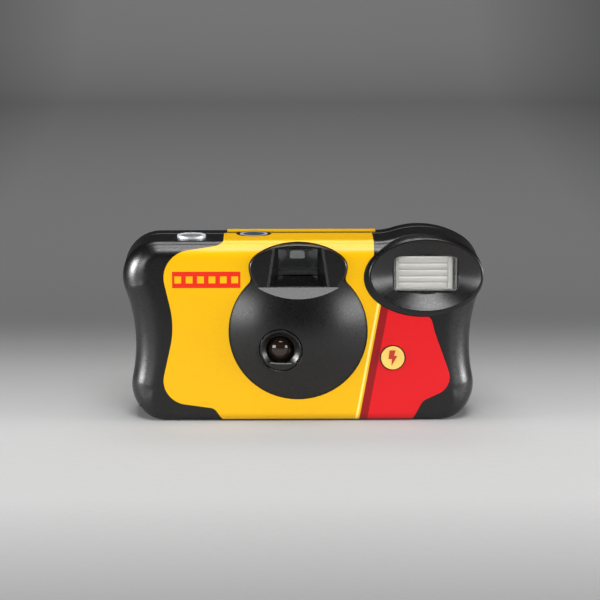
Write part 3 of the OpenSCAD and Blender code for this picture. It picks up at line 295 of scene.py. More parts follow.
def shape(base, **steps):
    """Joins, cuts or keeps a base by lists of tools, in the order given, and uses the tools up."""
    for how, tools in steps.items():
        tools = [t if isinstance(t, bpy.types.Object) else solid(t) for t in tools]
        for tool in tools:
            step = base.modifiers.new(how, "BOOLEAN")
            step.operation = BOOLEAN[how]
            step.solver = "MANIFOLD"
            step.object = tool
        bpy.context.view_layer.update()
        done = bpy.data.meshes.new_from_object(base.evaluated_get(bpy.context.evaluated_depsgraph_get()))
        base.modifiers.clear()
        base.data = done
        for tool in tools:
            bpy.data.objects.remove(tool)
    return base


def dress(made, name, body, material, replaced=None, crease=28):
    """Names a piece, shades it smooth up to a crease angle, gives it its finish and seats it on its body."""
    made.name = made.data.name = name
    made.data.materials.clear()
    made.data.materials.append(material)
    made.data.shade_smooth()
    made.data.set_sharp_from_angle(angle=np.radians(crease))
    even = made.modifiers.new("even_faces", "WEIGHTED_NORMAL")
    even.keep_sharp = True
    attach(made, body)
    if replaced:
        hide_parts(replaced)
    return made


# ---- Finishes ----
# Sockets that several finishes set, and the index of acrylic
SHEEN, CLEAR, ACRYLIC_IOR = "Specular IOR Level", "Transmission Weight", 1.49


def linear(code):
    """Colour from an sRGB hex code, as linear light."""
    part = np.array([int(code[i:i + 2], 16) for i in (1, 3, 5)]) / 255
    return (*np.where(part <= 0.04045, part / 12.92, ((part + 0.055) / 1.055) ** 2.4).tolist(), 1.0)


def node(tree, kind, sockets=None, **options):
    """Adds a shader node: options are its own settings, sockets its inputs, each a value or another output."""
    made = tree.nodes.new("ShaderNode" + kind)
    for key, value in options.items():
        setattr(made, key, value)
    for key, value in (sockets or {}).items():
        if isinstance(value, bpy.types.NodeSocket):
            tree.links.new(value, made.inputs[key])
        else:
            made.inputs[key].default_value = value
    return made


def begin(name):
    """Empty material with its output: returns it, its node tree and its Object coordinates."""
    made = bpy.data.materials.new(name)
    made.use_nodes = True
    tree = made.node_tree
    tree.nodes.clear()
    return made, tree, node(tree, "TexCoord").outputs["Object"]


def end(tree, sockets):
    """Principled surface from its sockets, joined to the output."""
    surface = node(tree, "BsdfPrincipled", sockets)
    out = node(tree, "OutputMaterial")
    tree.links.new(surface.outputs[0], out.inputs[0])


def mix(tree, share, first, second, **options):
    """Colour between two others."""
    return node(tree, "Mix", {0: share, 6: first, 7: second}, data_type="RGBA", **options).outputs[2]


def remap(tree, value, low, high, to=(0.0, 1.0), **options):
    """Value between low and high carried over to another range, and held at its ends."""
    sockets = {"Value": value, "From Min": low, "From Max": high, "To Min": to[0], "To Max": to[1]}
    return node(tree, "MapRange", sockets, **options).outputs[0]


def reckon(tree, how, *values):
    """Outcome of one step of arithmetic."""
    return node(tree, "Math", dict(enumerate(values)), operation=how).outputs[0]


def speckle(tree, place, grain, detail, **more):
    """Noise with a grain of that size in mm."""
    return node(tree, "TexNoise", {"Vector": place, "Scale": 1 / (grain * MM), "Detail": detail, **more}).outputs[0]


def grained(name, code, rough, grain, depth, spread=0.1, edge=0.0, stretch=(1, 1, 1), **look):
    """Finish with a grain: noise of that size in mm shades the colour by spread, shifts the roughness and raises
    the surface by depth in mm; edge is the radius in mm that softens the light on sharp edges."""
    made, tree, place = begin(name)
    place = node(tree, "Mapping", {"Vector": place, "Scale": stretch}).outputs[0]
    noise = speckle(tree, place, grain, 3.0, Roughness=0.6)
    dark, light = ((*(c * (1 + shade) for c in linear(code)[:3]), 1) for shade in (-spread, spread))
    tone = mix(tree, noise, dark, light)
    dull = remap(tree, noise, 0.3, 0.7, (rough * 0.85, rough * 1.15))
    bump = {"Height": noise, "Distance": depth * MM, "Strength": 0.5}
    if edge:
        bump["Normal"] = node(tree, "Bevel", {"Radius": edge * MM}, samples=4).outputs[0]
    end(tree, {"Base Color": tone, "Roughness": dull, "Normal": node(tree, "Bump", bump).outputs[0], **look})
    return made


def ringed(name, middle, rim, centre, radius, rough, **look):
    """Finish about an upright axis through centre, in mm: one tone inside the radius and another outside, with
    flakes. The paler outer tone is a painted highlight along a rim."""
    made, tree, place = begin(name)
    flat = node(tree, "VectorMath", {0: place, 1: (1, 1, 0)}, operation="MULTIPLY").outputs[0]
    axis = (centre[0] * MM, centre[1] * MM, 0)
    away = node(tree, "VectorMath", {0: flat, 1: axis}, operation="DISTANCE").outputs["Value"]
    share = remap(tree, away, (radius - 0.3) * MM, (radius + 0.3) * MM)
    tone = mix(tree, share, linear(middle), linear(rim))
    dull = remap(tree, speckle(tree, place, 0.4, 3.0), 0, 1, (rough * 0.8, rough * 1.2))
    end(tree, {"Base Color": tone, "Roughness": dull, **look})
    return made


# Label print: its colours, where the stripes begin on the rake, and the film strip's middle, half size and holes
YELLOW, RED, STRIP_RED = "#e7b000", "#d4121a", "#dc2a16"
STRIPE_RAKE, STRIPES = -0.183, ((17.0, "#f7e27a"), (17.7, YELLOW), (18.3, "#8e0b10"), (20.9, RED))
STRIP_C, STRIP_HALF, HOLE_HALF, HOLE_PITCH = (-31.45, 47.2), (11.1, 2.7), (1.1, 1.15), 3.7


def printed_film():
    """Laminated label: yellow to the left, red to the right, parted by a straight raked dark stripe and a fine pale
    one; a red strip with a row of square holes, like a piece of film, is printed on the front at the upper left."""
    made, tree, place = begin("printed_label_film")
    x, y, z = node(tree, "SeparateXYZ", {0: place}).outputs

    def within(value, middle, reach):
        return reckon(tree, "COMPARE", value, middle * MM, reach * MM)

    def both(one, other):
        return reckon(tree, "MULTIPLY", one, other)
    rake = reckon(tree, "MULTIPLY_ADD", z, STRIPE_RAKE, x)
    tone = linear(YELLOW)
    for at, code in STRIPES:
        tone = mix(tree, reckon(tree, "GREATER_THAN", rake, at * MM), tone, linear(code))
    along = reckon(tree, "WRAP", x, HOLE_PITCH / 2 * MM, -HOLE_PITCH / 2 * MM)
    hole = both(within(along, 0, HOLE_HALF[0]), within(z, STRIP_C[1], HOLE_HALF[1]))
    strip = both(within(x, STRIP_C[0], STRIP_HALF[0]), within(z, STRIP_C[1], STRIP_HALF[1]))
    strip = both(strip, within(y, -FAR, FAR))
    tone = mix(tree, strip, tone, linear(STRIP_RED))
    tone = mix(tree, both(strip, hole), tone, linear(YELLOW))
    dots = remap(tree, speckle(tree, place, 0.5, 2.0), 0, 1, (0.95, 1.05))
    tone = mix(tree, 1.0, tone, dots, blend_type="MULTIPLY")
    wave = {"Height": speckle(tree, place, 9, 1.0), "Distance": 0.02 * MM, "Strength": 0.4}
    lie = node(tree, "Bump", wave).outputs[0]
    end(tree, {"Base Color": tone, "Roughness": 0.3, SHEEN: 0.4, "Normal": lie})
    return made


# Black styrene with a fine eroded grain: a soft sheen that spreads over the edges
shell_black = grained("satin_black_styrene", "#070707", 0.3, 0.6, 0.004, 0.08, edge=0.15, **{SHEEN: 0.6})
# Glossy black of the finder's tunnel, which draws bright lines along its corners
tunnel_black = grained("glossy_black_styrene", "#0b0b0c", 0.16, 2.0, 0.002, 0.08)
# Near-black round the lens: painted shade that stands for the dark recess about the glass
painted_shade_black = grained("painted_shade_flat_black", "#050505", 0.9, 0.3, 0.01, 0.1, **{SHEEN: 0.05})
# Darker, duller styrene of the inner works
frame_black = grained("dull_black_styrene", "#161617", 0.55, 0.8, 0.01)
# Laminated print: clear yellow and red with a smooth film over them
label_print = printed_film()
# Optical acrylic: clear, with faint haze
clear_acrylic = grained("clear_acrylic", "#f4f6f6", 0.03, 6, 0.001, 0.02,
                        **{CLEAR: 1.0, "IOR": ACRYLIC_IOR, SHEEN: 0.12})
# Counter window: smoked acrylic, a dark disc whose pale edge is a painted highlight on its rim
smoked_acrylic_painted_rim_highlight = ringed("smoked_acrylic_painted_rim_highlight", "#56595b", "#c4c6c8", COUNTER_C, 3.6, 0.25,
                        **{CLEAR: 0.25, "IOR": ACRYLIC_IOR})
# Flash window: clear ribbed acrylic that scatters part of the light
ribbed_acrylic = grained("ribbed_flash_acrylic", "#f6f5f0", 0.1, 3, 0.003, 0.03,
                         **{CLEAR: 0.6, "IOR": ACRYLIC_IOR})
# Lens acrylic: dark, with a warm brown cast and a bright gloss
lens_acrylic = grained("lens_acrylic", "#33261f", 0.06, 6, 0.001, 0.02,
                       **{CLEAR: 0.3, "IOR": ACRYLIC_IOR, SHEEN: 0.8})
# Silver spray paint with fine flakes on the shutter button: its darker middle is painted shade in the button's dish,
# and its pale rim a painted highlight
silver_with_painted_light = ringed("silver_paint_painted_dish_shade_rim_highlight", "#7d8083", "#cdcfd1", SHUTTER_C, 3.4, 0.45, Metallic=0.5)
# Pale yellow moulding of the flash button
pale_abs = grained("pale_yellow_abs", "#eac263", 0.4, 0.8, 0.006, 0.05)
# Bright foil with a slight pull to its lines
foil = grained("aluminised_foil", "#ecebe6", 0.3, 1.2, 0.004, 0.05, stretch=(0.2, 1, 1), Metallic=0.35)
# Sheet metals and wires of the works
steel = grained("blued_steel", "#4b4d52", 0.35, 0.7, 0.003, 0.12, stretch=(0.15, 1, 1), Metallic=1.0)
spring = grained("spring_wire", "#b9bcc0", 0.28, 0.4, 0.002, 0.1, Metallic=1.0)
brass = grained("rolled_brass", "#c79a4a", 0.3, 0.6, 0.003, 0.12, stretch=(0.15, 1, 1), Metallic=1.0)
tinplate = grained("lacquered_tinplate", "#8d9094", 0.3, 1.0, 0.003, 0.1, stretch=(1, 1, 0.2), Metallic=0.8)
copper = grained("enamelled_copper", "#9c4a22", 0.35, 0.3, 0.02, 0.3, stretch=(0.1, 1, 1), Metallic=0.7)
# Slippery white and pale mouldings
acetal = grained("white_acetal", "#dcdcd6", 0.45, 0.8, 0.006, 0.04)
amber = grained("amber_acrylic", "#e8892a", 0.12, 3, 0.002, 0.05, **{CLEAR: 0.6})
film = grained("film_base", "#3b2c26", 0.3, 2.0, 0.002, 0.1)
board = grained("circuit_board", "#2f6b3c", 0.4, 1.5, 0.02, 0.25)
sleeve = grained("shrink_sleeve", "#262a33", 0.3, 1.2, 0.004, 0.15)
battery_wrap = grained("battery_wrap", "#b08d57", 0.28, 1.5, 0.003, 0.1, Metallic=0.4)
glass = grained("tube_glass", "#f2f4f4", 0.02, 4, 0.001, 0.02, **{CLEAR: 1.0, "IOR": 1.47})
ink = grained("bolt_ink", "#b23418", 0.45, 0.4, 0.004, 0.1)

CAD_FINISH = {
    frame_black: ("main_frame", "lens_retainer", "thumbwheel", "keeper_plate", "cartridge_spool",
                  "sprocket_wheel"),
    shell_black: ("front_cover", "rear_cover", "film_door"),
    label_print: ("front_label", "rear_label"),
    lens_acrylic: ("taking_lens",),
    clear_acrylic: ("viewfinder_front_lens", "viewfinder_rear_lens"),
    smoked_acrylic_painted_rim_highlight: ("counter_window",),
    ribbed_acrylic: ("flash_lens",),
    steel: ("shutter_blade", "striker", "metering_lever"),
    spring: ("shutter_spring", "striker_spring", "metering_spring"),
    tinplate: ("cartridge_shell", "cartridge_caps"),
    film: ("film_roll", "film_strip"),
    acetal: ("counter_dial", "ready_window"),
    silver_with_painted_light: ("shutter_button",),
    foil: ("flash_reflector",),
    glass: ("flash_tube",),
    board: ("flash_board",),
    sleeve: ("main_capacitor",),
    copper: ("transformer", "trigger_coil"),
    amber: ("ready_lamp",),
    brass: ("charge_contact", "sync_contact", "battery_contact_plus", "battery_contact_minus"),
    pale_abs: ("flash_button",),
    battery_wrap: ("battery",),
}
for material, names in CAD_FINISH.items():
    for name in names:
        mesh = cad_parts[name].data
        mesh.materials.clear()
        mesh.materials.append(material)


# ---- Covers ----
def hood_outline(grow):
    """Viewfinder hood: half ellipses above and below its centre."""
    return ellipse(HOOD_C, HOOD_HALF_W + grow, HOOD_UP + grow, HOOD_DOWN + grow)


def pod_outline(grow):
    """Flash pod: an ellipse."""
    return ellipse(POD_C, POD_HALF[0] + grow, POD_HALF[1] + grow)


def funnel(grow, lead, flare=0.0):
    """Viewfinder funnel from lead mm before the hood's face to its window: a mouth wider below than above, whose
    top edge is a parabola that follows the hood; flare widens the mouth for a fine chamfer."""
    def mouth(y, low_w, high_w, low, high, rise, more=0.0):
        t = np.linspace(1, -1, 17)
        top = np.stack([(high_w + grow + more) * t, high + grow + more / 6 + rise * (1 - t ** 2)], -1)
        foot = [(-low_w - grow - more, low - grow), (low_w + grow + more, low - grow)]
        return at_depth(np.concatenate([foot, top]) + (HOOD_C[0], 0), y)
    rings = [mouth(HOOD_FACE - lead, *FUNNEL_MOUTH, flare)]
    if flare:
        rings += [mouth(HOOD_FACE, *FUNNEL_MOUTH, flare), mouth(HOOD_FACE + flare / 2, *FUNNEL_LIP)]
    return loft(rings + [mouth(FINDER_Y - SEAT, *FUNNEL_END)])


def finder_walls():
    """Walls round the funnel, 1 mm thick, inside the hood."""
    return shape(solid(funnel(1, -0.3)), keep=[prism(hood_outline(0), HOOD_FACE, FINDER_Y)])


def shelf_space(off):
    """Wedge before the viewfinder that cuts the dome off, its slope moved inward by off."""
    deep, down = off * np.array([SHELF_DOWN, SHELF_OUT]) / np.hypot(SHELF_DOWN, SHELF_OUT)
    path = ((HOOD_FACE + deep, SHELF_TOP - down),
            (HOOD_FACE - SHELF_OUT + deep, SHELF_TOP - SHELF_DOWN - down),
            (CROWN_Y - 3, BODY_H), (HOOD_FACE + deep, BODY_H))
    return loft([[(x, y, z) for y, z in path] for x in (DOME_C[0] - DOME_R, DOME_C[0] + DOME_R)])


def dome_cap(radius, wide, back_y):
    """Solid cap of a sphere about the dome's centre, as wide as its foot, down to depth back_y: its face at radius
    r lies at front - sqrt(R^2 - r^2) + sphere - height."""
    r = np.linspace(0, wide, 40)
    face = np.stack([r, FRONT_Y - np.sqrt(radius ** 2 - r ** 2) + DOME_SPHERE - DOME_OUT], -1)
    return solid(turned(np.concatenate([face, [(wide, back_y), (0, back_y)]]), DOME_C, count=160))


def dome():
    """Sphere cap, hollow behind, with a slanting shelf one wall thick under the viewfinder."""
    hollow = dome_cap(DOME_SPHERE - WALL, DOME_HOLLOW_R, FRONT_Y + WALL + 0.5)
    hollow = shape(hollow, cut=[shelf_space(WALL)])
    return shape(dome_cap(DOME_SPHERE, DOME_R, FRONT_Y + WALL), cut=[hollow, shelf_space(0)])


def cavity():
    """Space inside the front cover."""
    return cover_solid(-1, -WALL, SEAM_Y + 1)


def pod_ring(grow, deep):
    """Pod's outline at a depth behind its face: an ellipse that steps out to a flat skirt at the left and below,
    and spreads slowly, as a sine, to the body's brow at the top and the right."""
    fast = np.clip((deep - SKIRT_DEEP) / SKIRT_STEP, 0, 1)
    slow = np.sin(min(deep / BROW_DEEP, 1.0) * np.pi / 2)
    left, low, right, high = SKIRT[0] * fast, SKIRT[1] * fast, BROW[0] * slow, BROW[1] * slow
    centre = (POD_C[0] + (right - left) / 2, POD_C[1] + (high - low) / 2)
    half = (POD_HALF[0] + (right + left) / 2 + grow, POD_HALF[1] + (high + low) / 2 + grow)
    return at_depth(ellipse(centre, *half), POD_FACE + deep)


def flash_pod():
    """Elliptical boss with a round rim, pierced by the flash window, and a bowl that is nearly a cone: its ellipses
    shrink to 1 - shrink t^power of the rim on the way down."""
    bend, turn = 0.3, np.linspace(np.pi / 2, 0, 8)
    body = [pod_ring(-POD_RIM, 0)]
    body += [pod_ring(bend * (np.cos(a) - 1), bend * (1 - np.sin(a))) for a in turn]
    deeps = (SKIRT_DEEP, SKIRT_DEEP + SKIRT_STEP, *np.linspace(1, BROW_DEEP, 9), EDGE[-1][0] + 1)
    body += [pod_ring(0, deep) for deep in deeps]
    rim, lip = pod_outline(-POD_RIM), pod_outline(0.2 - POD_RIM)
    bowl = [at_depth(lip, POD_FACE - 0.5), at_depth(lip, POD_FACE)]
    for t in np.linspace(0, 1, 14):
        outline = np.asarray(POD_C) + (rim - POD_C) * (1 - BOWL_SHRINK * t ** BOWL_POWER)
        bowl.append(at_depth(outline, POD_FACE + BOWL_LEAD + (DISH_D - BOWL_LEAD) * t))
    floor = prism(rim, FRONT_Y, POD_FACE + DISH_D + DISH_FLOOR)
    return shape(solid(loft(body)), trim=[cavity()], join=[floor],
                 cut=[loft(bowl), prism(pane(), POD_FACE, POD_FACE + DISH_D + 3)])


def hood():
    """Raised hood round the viewfinder, open behind to the inside of the dome."""
    return shape(solid(boss(hood_outline, HOOD_FACE, FRONT_Y + EDGE[-1][1], bend=0.5)),
                 cut=[cavity(), bar(DOME_C, DOME_R - WALL, FRONT_Y, FRONT_WALL[1])])


def at_lens(surface):
    """Carries a surface made at the crown of the dome round the sphere's middle to the lens."""
    points, faces = surface
    middle = np.array([DOME_C[0], CROWN_Y + DOME_SPHERE, DOME_C[1]])
    reach = np.subtract(LENS_C, DOME_C)
    lean = Vector((reach[0], -np.sqrt(DOME_SPHERE ** 2 - reach @ reach), reach[1]))
    turn = np.array(Vector((0, -1, 0)).rotation_difference(lean).to_matrix())
    return (points - middle) @ turn.T + middle, faces


def lens_groove():
    """Fine groove in the dome about the lens: a steep inner wall and a sloping outer one that catches light;
    its profile is taken from the groove's radius and the dome's crown."""
    path = np.array([(-0.3, -2), (-0.2, 1.0), (0.3, 0.5), (0.3, -2), (-0.3, -2)]) + (SINK_R, CROWN_Y)
    return ring_solid(*at_lens(turned(path, DOME_C, count=192)))


def lens_bevel():
    """Cone that leads in to the lens, cut off by the flat foot of its opening."""
    path = np.array([(0, 1.9), (MOUTH_R, 1.9), (BEVEL_R, 0.4), (BEVEL_R, -3), (0, -3)]) + (0, CROWN_Y)
    x, z = DOME_C
    keep = at_lens(block((x - 9, -40, z - MOUTH_FOOT), (x + 9, 0, z + 9)))
    return shape(solid(at_lens(turned(path, DOME_C, count=128))), keep=[keep])


def lens_ledge(half_w=3.5):
    """Small slope on the front edge of the flat foot below the lens."""
    x, z = DOME_C
    path = ((CROWN_Y - 1, z - 5.9), (CROWN_Y + 0.75, z - 4.15), (CROWN_Y - 1, z - 4.1))
    return at_lens(loft(np.array([[(at, y, up) for y, up in path] for at in (x - half_w, x + half_w)])))


def taking_lens():
    """Lens with a bulging front on a flat flange: at radius r its face lies at front + R - sqrt(R^2 - r^2)."""
    r = np.linspace(0, LENS_FACE_R, 24)
    face = np.stack([r, LENS_FRONT_Y + LENS_BALL - np.sqrt(LENS_BALL ** 2 - r ** 2)], -1)
    wide, back = LENS_D / 2, LENS_SEAT_Y + LENS_FLANGE
    return turned(np.concatenate([face, [(wide, face[-1, 1] + 0.1), (wide, back), (0, back)]]), LENS_C)


def flash_frame():
    """Clear border of the flash window, wider at the right and below."""
    border = POD_C + (pane() - POD_C) * 0.995
    hole = round_box(FRAME_FROM, FRAME_TO, FRAME_BEND)
    return shape(solid(prism(border, *FRAME_Y)), cut=[prism(hole, -FAR, FAR)])


def flash_ribs():
    """Ribbed panel of the flash window: lying half rounds of differing height and one upright bar at the right,
    each a half ellipse, radius cos t across and proud sin t deep."""
    def half_round(start, stop, radius, proud):
        turn = np.linspace(0, np.pi, 13)
        start, stop = np.asarray(start), np.asarray(stop)
        across = np.array([-(stop - start)[1], (stop - start)[0]]) / np.linalg.norm(stop - start)
        flat = across * (radius * np.cos(turn))[:, None]
        deep = RIB_FOOT_Y - (proud + 0.1) * np.sin(turn)
        return loft([np.stack([p[0] + flat[:, 0], deep, p[1] + flat[:, 1]], -1) for p in (start, stop)])
    ribs = [half_round((RIB_ENDS[0], z), (RIB_ENDS[1], z), radius, proud) for z, radius, proud in RIBS]
    ribs.append(half_round((UPRIGHT_X, UPRIGHT_ENDS[0]), (UPRIGHT_X, UPRIGHT_ENDS[1]), *UPRIGHT))
    return shape(solid(block(PANEL_FROM, PANEL_TO)), join=ribs)


def counter_bezel():
    """Black bead round the counter window."""
    turn = np.linspace(0, 2 * np.pi, 17)
    path = np.stack([BEZEL_R + BEZEL_HALF[0] * np.cos(turn), BEZEL_Z + BEZEL_HALF[1] * np.sin(turn)], -1)
    return ring_solid(*turned(path, COUNTER_C, upright=True))


def lens_mouth(shrink=0.0, front=CROWN_Y):
    """Round opening with a flat foot, in front of the lens."""
    turn, radius = np.radians(np.linspace(-66, 246, 60)), MOUTH_R - shrink
    path = np.stack([radius * np.cos(turn), np.maximum(radius * np.sin(turn), shrink - MOUTH_FOOT)], -1)
    return prism(np.asarray(LENS_C) + path, front, MOUTH_Y)


def lens_bore():
    """Round bore from that opening to the lens's seat."""
    return bar(LENS_C, BORE_R, -15, -13)


def lens_shade_ring():
    """Thin near-black ring at the foot of that opening, round the glass: painted shade of the recess."""
    return shape(solid(lens_mouth(0.02, SHADE_RING_Y)), cut=[lens_bore()])


def door_opening():
    """Opening in both covers for the film door."""
    return block((DOOR_FROM[0] - DOOR_GAP, DOOR_FROM[1] - DOOR_GAP, DOOR_FROM[2]),
                 (DOOR_TO[0] + HINGE_GAP, DOOR_TO[1] + DOOR_GAP, DOOR_TO[2] + DOOR_GAP))


def counter_hole(radius):
    """Round hole over the frame counter, across the seam."""
    return bar(COUNTER_C, radius, TOP_IN - 0.5, BODY_H + 1, upright=True)


def thumb_dimple():
    """Sphere that presses a shallow dimple into the back, round the thumbwheel's slot."""
    turn = np.linspace(0, np.pi, 49)
    path = np.stack([DIMPLE_R * np.sin(turn), BACK_Y + DIMPLE_R - DIMPLE_D - DIMPLE_R * np.cos(turn)], -1)
    return turned(path, (CART_X, sum(SLOT_Z) / 2), count=128)


front_cover = shape(
    solid(cover_solid(-1, 0, SEAM_Y - SEAM_GAP / 2, SEAM_BEVEL)),
    trim=[cavity(), bar(DOME_C, DOME_R - 0.6, *FRONT_WALL),
          prism(pod_outline(-POD_RIM - 0.5), *FRONT_WALL)],
    join=[dome(), flash_pod(), hood(), finder_walls(),
          bar(LENS_C, SINK_R + 1, FRONT_Y - LENS_OUT + WALL, LENS_SEAT_Y)],
    cut=[funnel(0, 0.2, 0.7),
         block((FINDER_FROM[0], FINDER_Y - SEAT, FINDER_FROM[1]),
               (FINDER_TO[0], FINDER_Y - SEAT + FINDER_D, FINDER_TO[1])),
         lens_groove(), lens_bevel(), lens_mouth(), lens_ledge(), lens_bore(),
         bar(BUTTON_C, BUTTON_R + RUN_GAP, *FRONT_WALL),
         bar(SHUTTER_C, SHUTTER_R + RUN_GAP, TOP_IN - 0.5, BODY_H + 0.5, upright=True),
         counter_hole(COUNTER_R + SEAT),
         door_opening()])
dress(front_cover, "smooth_front_cover", "camera", shell_black, "front_cover", crease=20)

ex, ez = EYEPIECE_C
rear_cover = shape(
    solid(cover_solid(1, 0, SEAM_Y + SEAM_GAP / 2, SEAM_BEVEL)),
    trim=[cover_solid(1, -WALL, SEAM_Y - 1)],
    join=[block((ex - EYE_FRAME[0], BACK_IN - EYE_FRAME_D, ez - EYE_FRAME[1]),
                (ex + EYE_FRAME[0], BACK_IN + 0.5, ez + EYE_FRAME[1]))],
    cut=[prism(round_box((ex - SIGHT_HALF_W, ez - SIGHT_DOWN), (ex + SIGHT_HALF_W, ez + SIGHT_UP), SIGHT_BEND),
               BACK_IN - 3, BACK_Y + 1),
         block((ex - EYEPIECE_W / 2 - SEAT, BACK_IN - 3, ez - EYEPIECE_H / 2 - SEAT),
               (ex + EYEPIECE_W / 2 + SEAT, BACK_IN + 0.8, ez + EYEPIECE_H / 2 + SEAT)),
         block((CART_X - SLOT_HALF, BACK_IN - 4, SLOT_Z[0]), (CART_X + SLOT_HALF, BACK_Y + 1, SLOT_Z[1])),
         thumb_dimple(),
         bar(LAMP_C, LAMP_R + PIPE_WALL + SEAT, BACK_IN - 1, BACK_Y + 1),
         counter_hole(COUNTER_R + SEAT),
         door_opening()])
dress(rear_cover, "smooth_rear_cover", "camera", shell_black, "rear_cover")

film_door = shape(solid(body_solid(0)), cut=[body_solid(-WALL)], keep=[block(DOOR_FROM, DOOR_TO)])
dress(film_door, "smooth_film_door", "door", shell_black, "film_door")


def finder_tunnel():
    """Tapering tunnel on the deck between the finder's lenses, with round lower corners."""
    def space(grow, over):
        rings = []
        for way, (y, wide, high) in zip((-1, 1), TUNNEL_ENDS):
            low_left = (HOOD_C[0] - wide - grow, TUNNEL_LOW - grow)
            high_right = (HOOD_C[0] + wide + grow, high + grow)
            rings.append(at_depth(round_box(low_left, high_right, *TUNNEL_BENDS), y + way * over))
        return loft(rings)
    return shape(solid(space(TUNNEL_WALL, 0)), cut=[space(0, 0.2)])


dress(solid(taking_lens()), "bulging_taking_lens", "camera", lens_acrylic, "taking_lens")
# Near-black ring round the lens glass: painted shade of the recess
dress(lens_shade_ring(), "painted_shade_lens_ring", "camera", painted_shade_black)
dress(flash_frame(), "clear_flash_frame", "camera", clear_acrylic)
dress(flash_ribs(), "ribbed_flash_panel", "camera", ribbed_acrylic, "flash_lens")
dress(counter_bezel(), "counter_bezel", "camera", shell_black)
dress(finder_tunnel(), "finder_tunnel", "camera", tunnel_black)


# ---- Labels ----
def neck_round(side, radius=2.6):
    """Space that rounds the label's tip between hood and dome: up to a circle that touches both outlines."""
    far = DOME_R + LABEL_GAP
    half = np.array([HOOD_HALF_W + LABEL_GAP, HOOD_DOWN + LABEL_GAP])
    turn = np.radians(np.linspace(-85, -1, 5000))
    way = np.stack([np.cos(turn), np.sin(turn)], -1)
    edge, out = HOOD_C + way * half, way / half
    out /= np.linalg.norm(out, axis=1, keepdims=True)
    best = np.argmin(np.abs(np.linalg.norm(edge + radius * out - DOME_C, axis=1) - far - radius))
    centre, touch = edge[best] + radius * out[best], edge[best]
    foot = DOME_C + (centre - DOME_C) * far / (far + radius)
    first, last = (np.arctan2(*(p - centre)[::-1]) for p in (touch, foot))
    sweep_angle = first + ((last - first + np.pi) % (2 * np.pi) - np.pi) * np.linspace(0, 1, 16)
    curve = centre + radius * np.stack([np.cos(sweep_angle), np.sin(sweep_angle)], -1)
    path = np.concatenate([curve, [(touch + foot) / 2 - (centre - (touch + foot) / 2)]])
    path[:, 0] = DOME_C[0] + side * (path[:, 0] - DOME_C[0])
    return prism(path, -FAR, SEAM_Y)


def label(face, die, holes):
    """Thin film over one cover: the skin between two offsets, kept inside a die outline, less its holes."""
    edge_y = SEAM_Y + LABEL_EDGE[face]
    return shape(solid(cover_solid(face, GLUE + LABEL_T, edge_y)),
                 trim=[cover_solid(face, GLUE, edge_y - face)],
                 keep=[prism(rounded(die, 16), -FAR, FAR)], cut=holes)


skirt = ellipse(SKIRT_C, SKIRT_HALF[0] + LABEL_GAP, SKIRT_HALF[1] + LABEL_GAP)
front_label = label(-1, FRONT_DIE, [
    prism(skirt, -FAR, SEAM_Y), prism(hood_outline(LABEL_GAP), -FAR, SEAM_Y),
    bar(DOME_C, DOME_R + LABEL_GAP, -FAR, SEAM_Y),
    bar(BUTTON_C, BUTTON_R + RUN_GAP + LABEL_GAP, -FAR, SEAM_Y),
    counter_hole(COUNTER_R + LABEL_CLEAR), neck_round(-1), neck_round(1)])
dress(front_label, "die_cut_front_label", "camera", label_print, "front_label")
eye_half = np.add(EYE_FRAME, LABEL_GAP)
rear_label = label(1, REAR_DIE, [
    prism(round_box(EYEPIECE_C - eye_half, EYEPIECE_C + eye_half, 0.8), SEAM_Y, FAR),
    bar(LAMP_C, LAMP_R + LABEL_CLEAR, SEAM_Y, FAR), counter_hole(COUNTER_R + LABEL_CLEAR)])
dress(rear_label, "die_cut_rear_label", "camera", label_print, "rear_label")


# ---- Flash button mark ----
def bolt_mark():
    """Plain lightning bolt printed on the button's hollow face: a seven-cornered zigzag, 0.04 mm proud of the dish,
    which at radius r lies at dish - r^2 / 2R."""
    path = np.array(BOLT)
    lie = BUTTON_Y + BUTTON_DISH - (path ** 2).sum(1) / (2 * BUTTON_BALL)
    place = np.asarray(BUTTON_C) + path
    return loft([np.stack([place[:, 0], lie + y, place[:, 1]], -1) for y in (-0.04, 0.1)])


dress(solid(bolt_mark()), "flash_bolt_mark", "charger", ink)


# ---- Studio ----
def lamp(name, place, aim, size, power):
    """Soft area light at a place, turned to a point; places in millimetres, size in metres."""
    light = bpy.data.lights.new(name, "AREA")
    light.shape, light.size, light.size_y = "RECTANGLE", *size
    light.energy = power
    made = bpy.data.objects.new(name, light)
    made.location = Vector(place) * MM
    made.rotation_euler = (Vector(aim) - Vector(place)).to_track_quat("-Z", "Y").to_euler()
    bpy.context.scene.collection.objects.link(made)


def sweep(front=-1400, bend_y=900, bend=400, top=1800, half_w=2000):
    """Paper sweep, in millimetres: a flat floor that rises behind in a quarter circle to an upright wall."""
    turn = np.linspace(0, np.pi / 2, 24)
    curve = np.stack([bend_y + bend * np.sin(turn), bend - bend * np.cos(turn)], -1)
    run = np.concatenate([[(front, 0)], curve, [(bend_y + bend, top)]])
    across = np.array([-half_w, half_w])
    points = np.stack(np.broadcast_arrays(across[None], run[:, :1], run[:, 1:]), -1).reshape(-1, 3)
    first = np.arange(len(run) - 1)[:, None] * 2
    return points, (first + np.array([0, 1, 3, 2])).tolist()


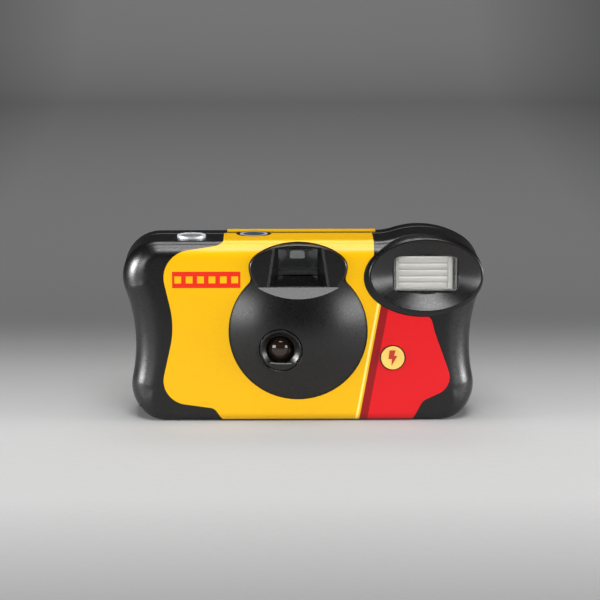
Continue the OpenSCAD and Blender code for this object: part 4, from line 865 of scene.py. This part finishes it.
def paper():
    """Pale paper with a faint fibre under painted shade: darker towards the viewer, mid grey behind the object, and
    dark high up and far to the sides, where less light falls; places in metres."""
    made, tree, place = begin("studio_paper_painted_shade")
    x, y, z = node(tree, "SeparateXYZ", {0: place}).outputs
    # Painted shade: mid grey behind the object, dark high up
    wall = mix(tree, remap(tree, y, 0.15, 1.05), linear("#5f5f5f"), linear("#989898"))
    wall = mix(tree, remap(tree, z, 0.06, 0.12), wall, linear("#1c1c1c"))
    pale = mix(tree, speckle(tree, place, 3, 2.0), linear("#a9a9a9"), linear("#adadad"))
    # Painted shade: the floor darkens towards the viewer
    pale = mix(tree, remap(tree, y, -0.11, -0.34), pale, linear("#4a4a4a"))
    tone = mix(tree, remap(tree, y, -0.04, 0.18, interpolation_type="SMOOTHSTEP"), pale, wall)
    # Painted shade: darker far to the sides
    painted_side_shade = remap(tree, reckon(tree, "ABSOLUTE", x), 0.14, 0.36)
    tone = mix(tree, painted_side_shade, tone, linear("#303030"))
    end(tree, {"Base Color": tone, "Roughness": 1.0, SHEEN: 0.0})
    return made


points, faces = sweep()
floor_mesh = bpy.data.meshes.new("paper_sweep")
floor_mesh.from_pydata((points * MM).tolist(), [], faces)
floor_mesh.shade_smooth()
floor_mesh.materials.append(paper())
floor = bpy.data.objects.new("paper_sweep", floor_mesh)
bpy.context.scene.collection.objects.link(floor)

HEART = (0, 0, 40)
lamp("front_softbox", (60, -520, 700), HEART, (0.4, 0.26), 2.2)
lamp("top_softbox", (0, -400, 750), (0, -400, 0), (0.34, 0.3), 2.0)
lamp("crown_softbox", (0, -60, 780), (0, -60, 0), (0.45, 0.3), 2.7)
for side, hand in ((-1, "left"), (1, "right")):
    lamp(hand + "_panel", (530 * side, -500, 115), HEART, (0.32, 0.22), 1.55)
    lamp(hand + "_strip", (640 * side, -90, 105), HEART, (0.24, 0.2), 5.4)
lamp("backdrop_wash", (0, 500, 900), (0, 1000, 0), (0.8, 0.4), 1.85)
lamp("back_fill", (0, 450, 720), (0, 0, 30), (0.4, 0.3), 1.2)

world = bpy.data.worlds.new("studio")
world.use_nodes = True
world.node_tree.nodes["Background"].inputs[0].default_value = (0.5, 0.5, 0.5, 1)
world.node_tree.nodes["Background"].inputs[1].default_value = 0.02
scene = bpy.context.scene
scene.world = world
scene.view_settings.view_transform = "Standard"

pitch, yaw = np.radians(10.702), np.radians(0.817)
look_at, distance = Vector((-0.819, 0, 38.07)), 900
ahead = Vector((np.sin(yaw) * np.cos(pitch), np.cos(yaw) * np.cos(pitch), -np.sin(pitch)))
view = bpy.data.cameras.new("studio_camera")
view.lens, view.sensor_width = 163.6, 36
camera = bpy.data.objects.new("studio_camera", view)
camera.location = (look_at - ahead * distance) * MM
camera.rotation_euler = ahead.to_track_quat("-Z", "Y").to_euler()
scene.collection.objects.link(camera)
scene.camera = camera
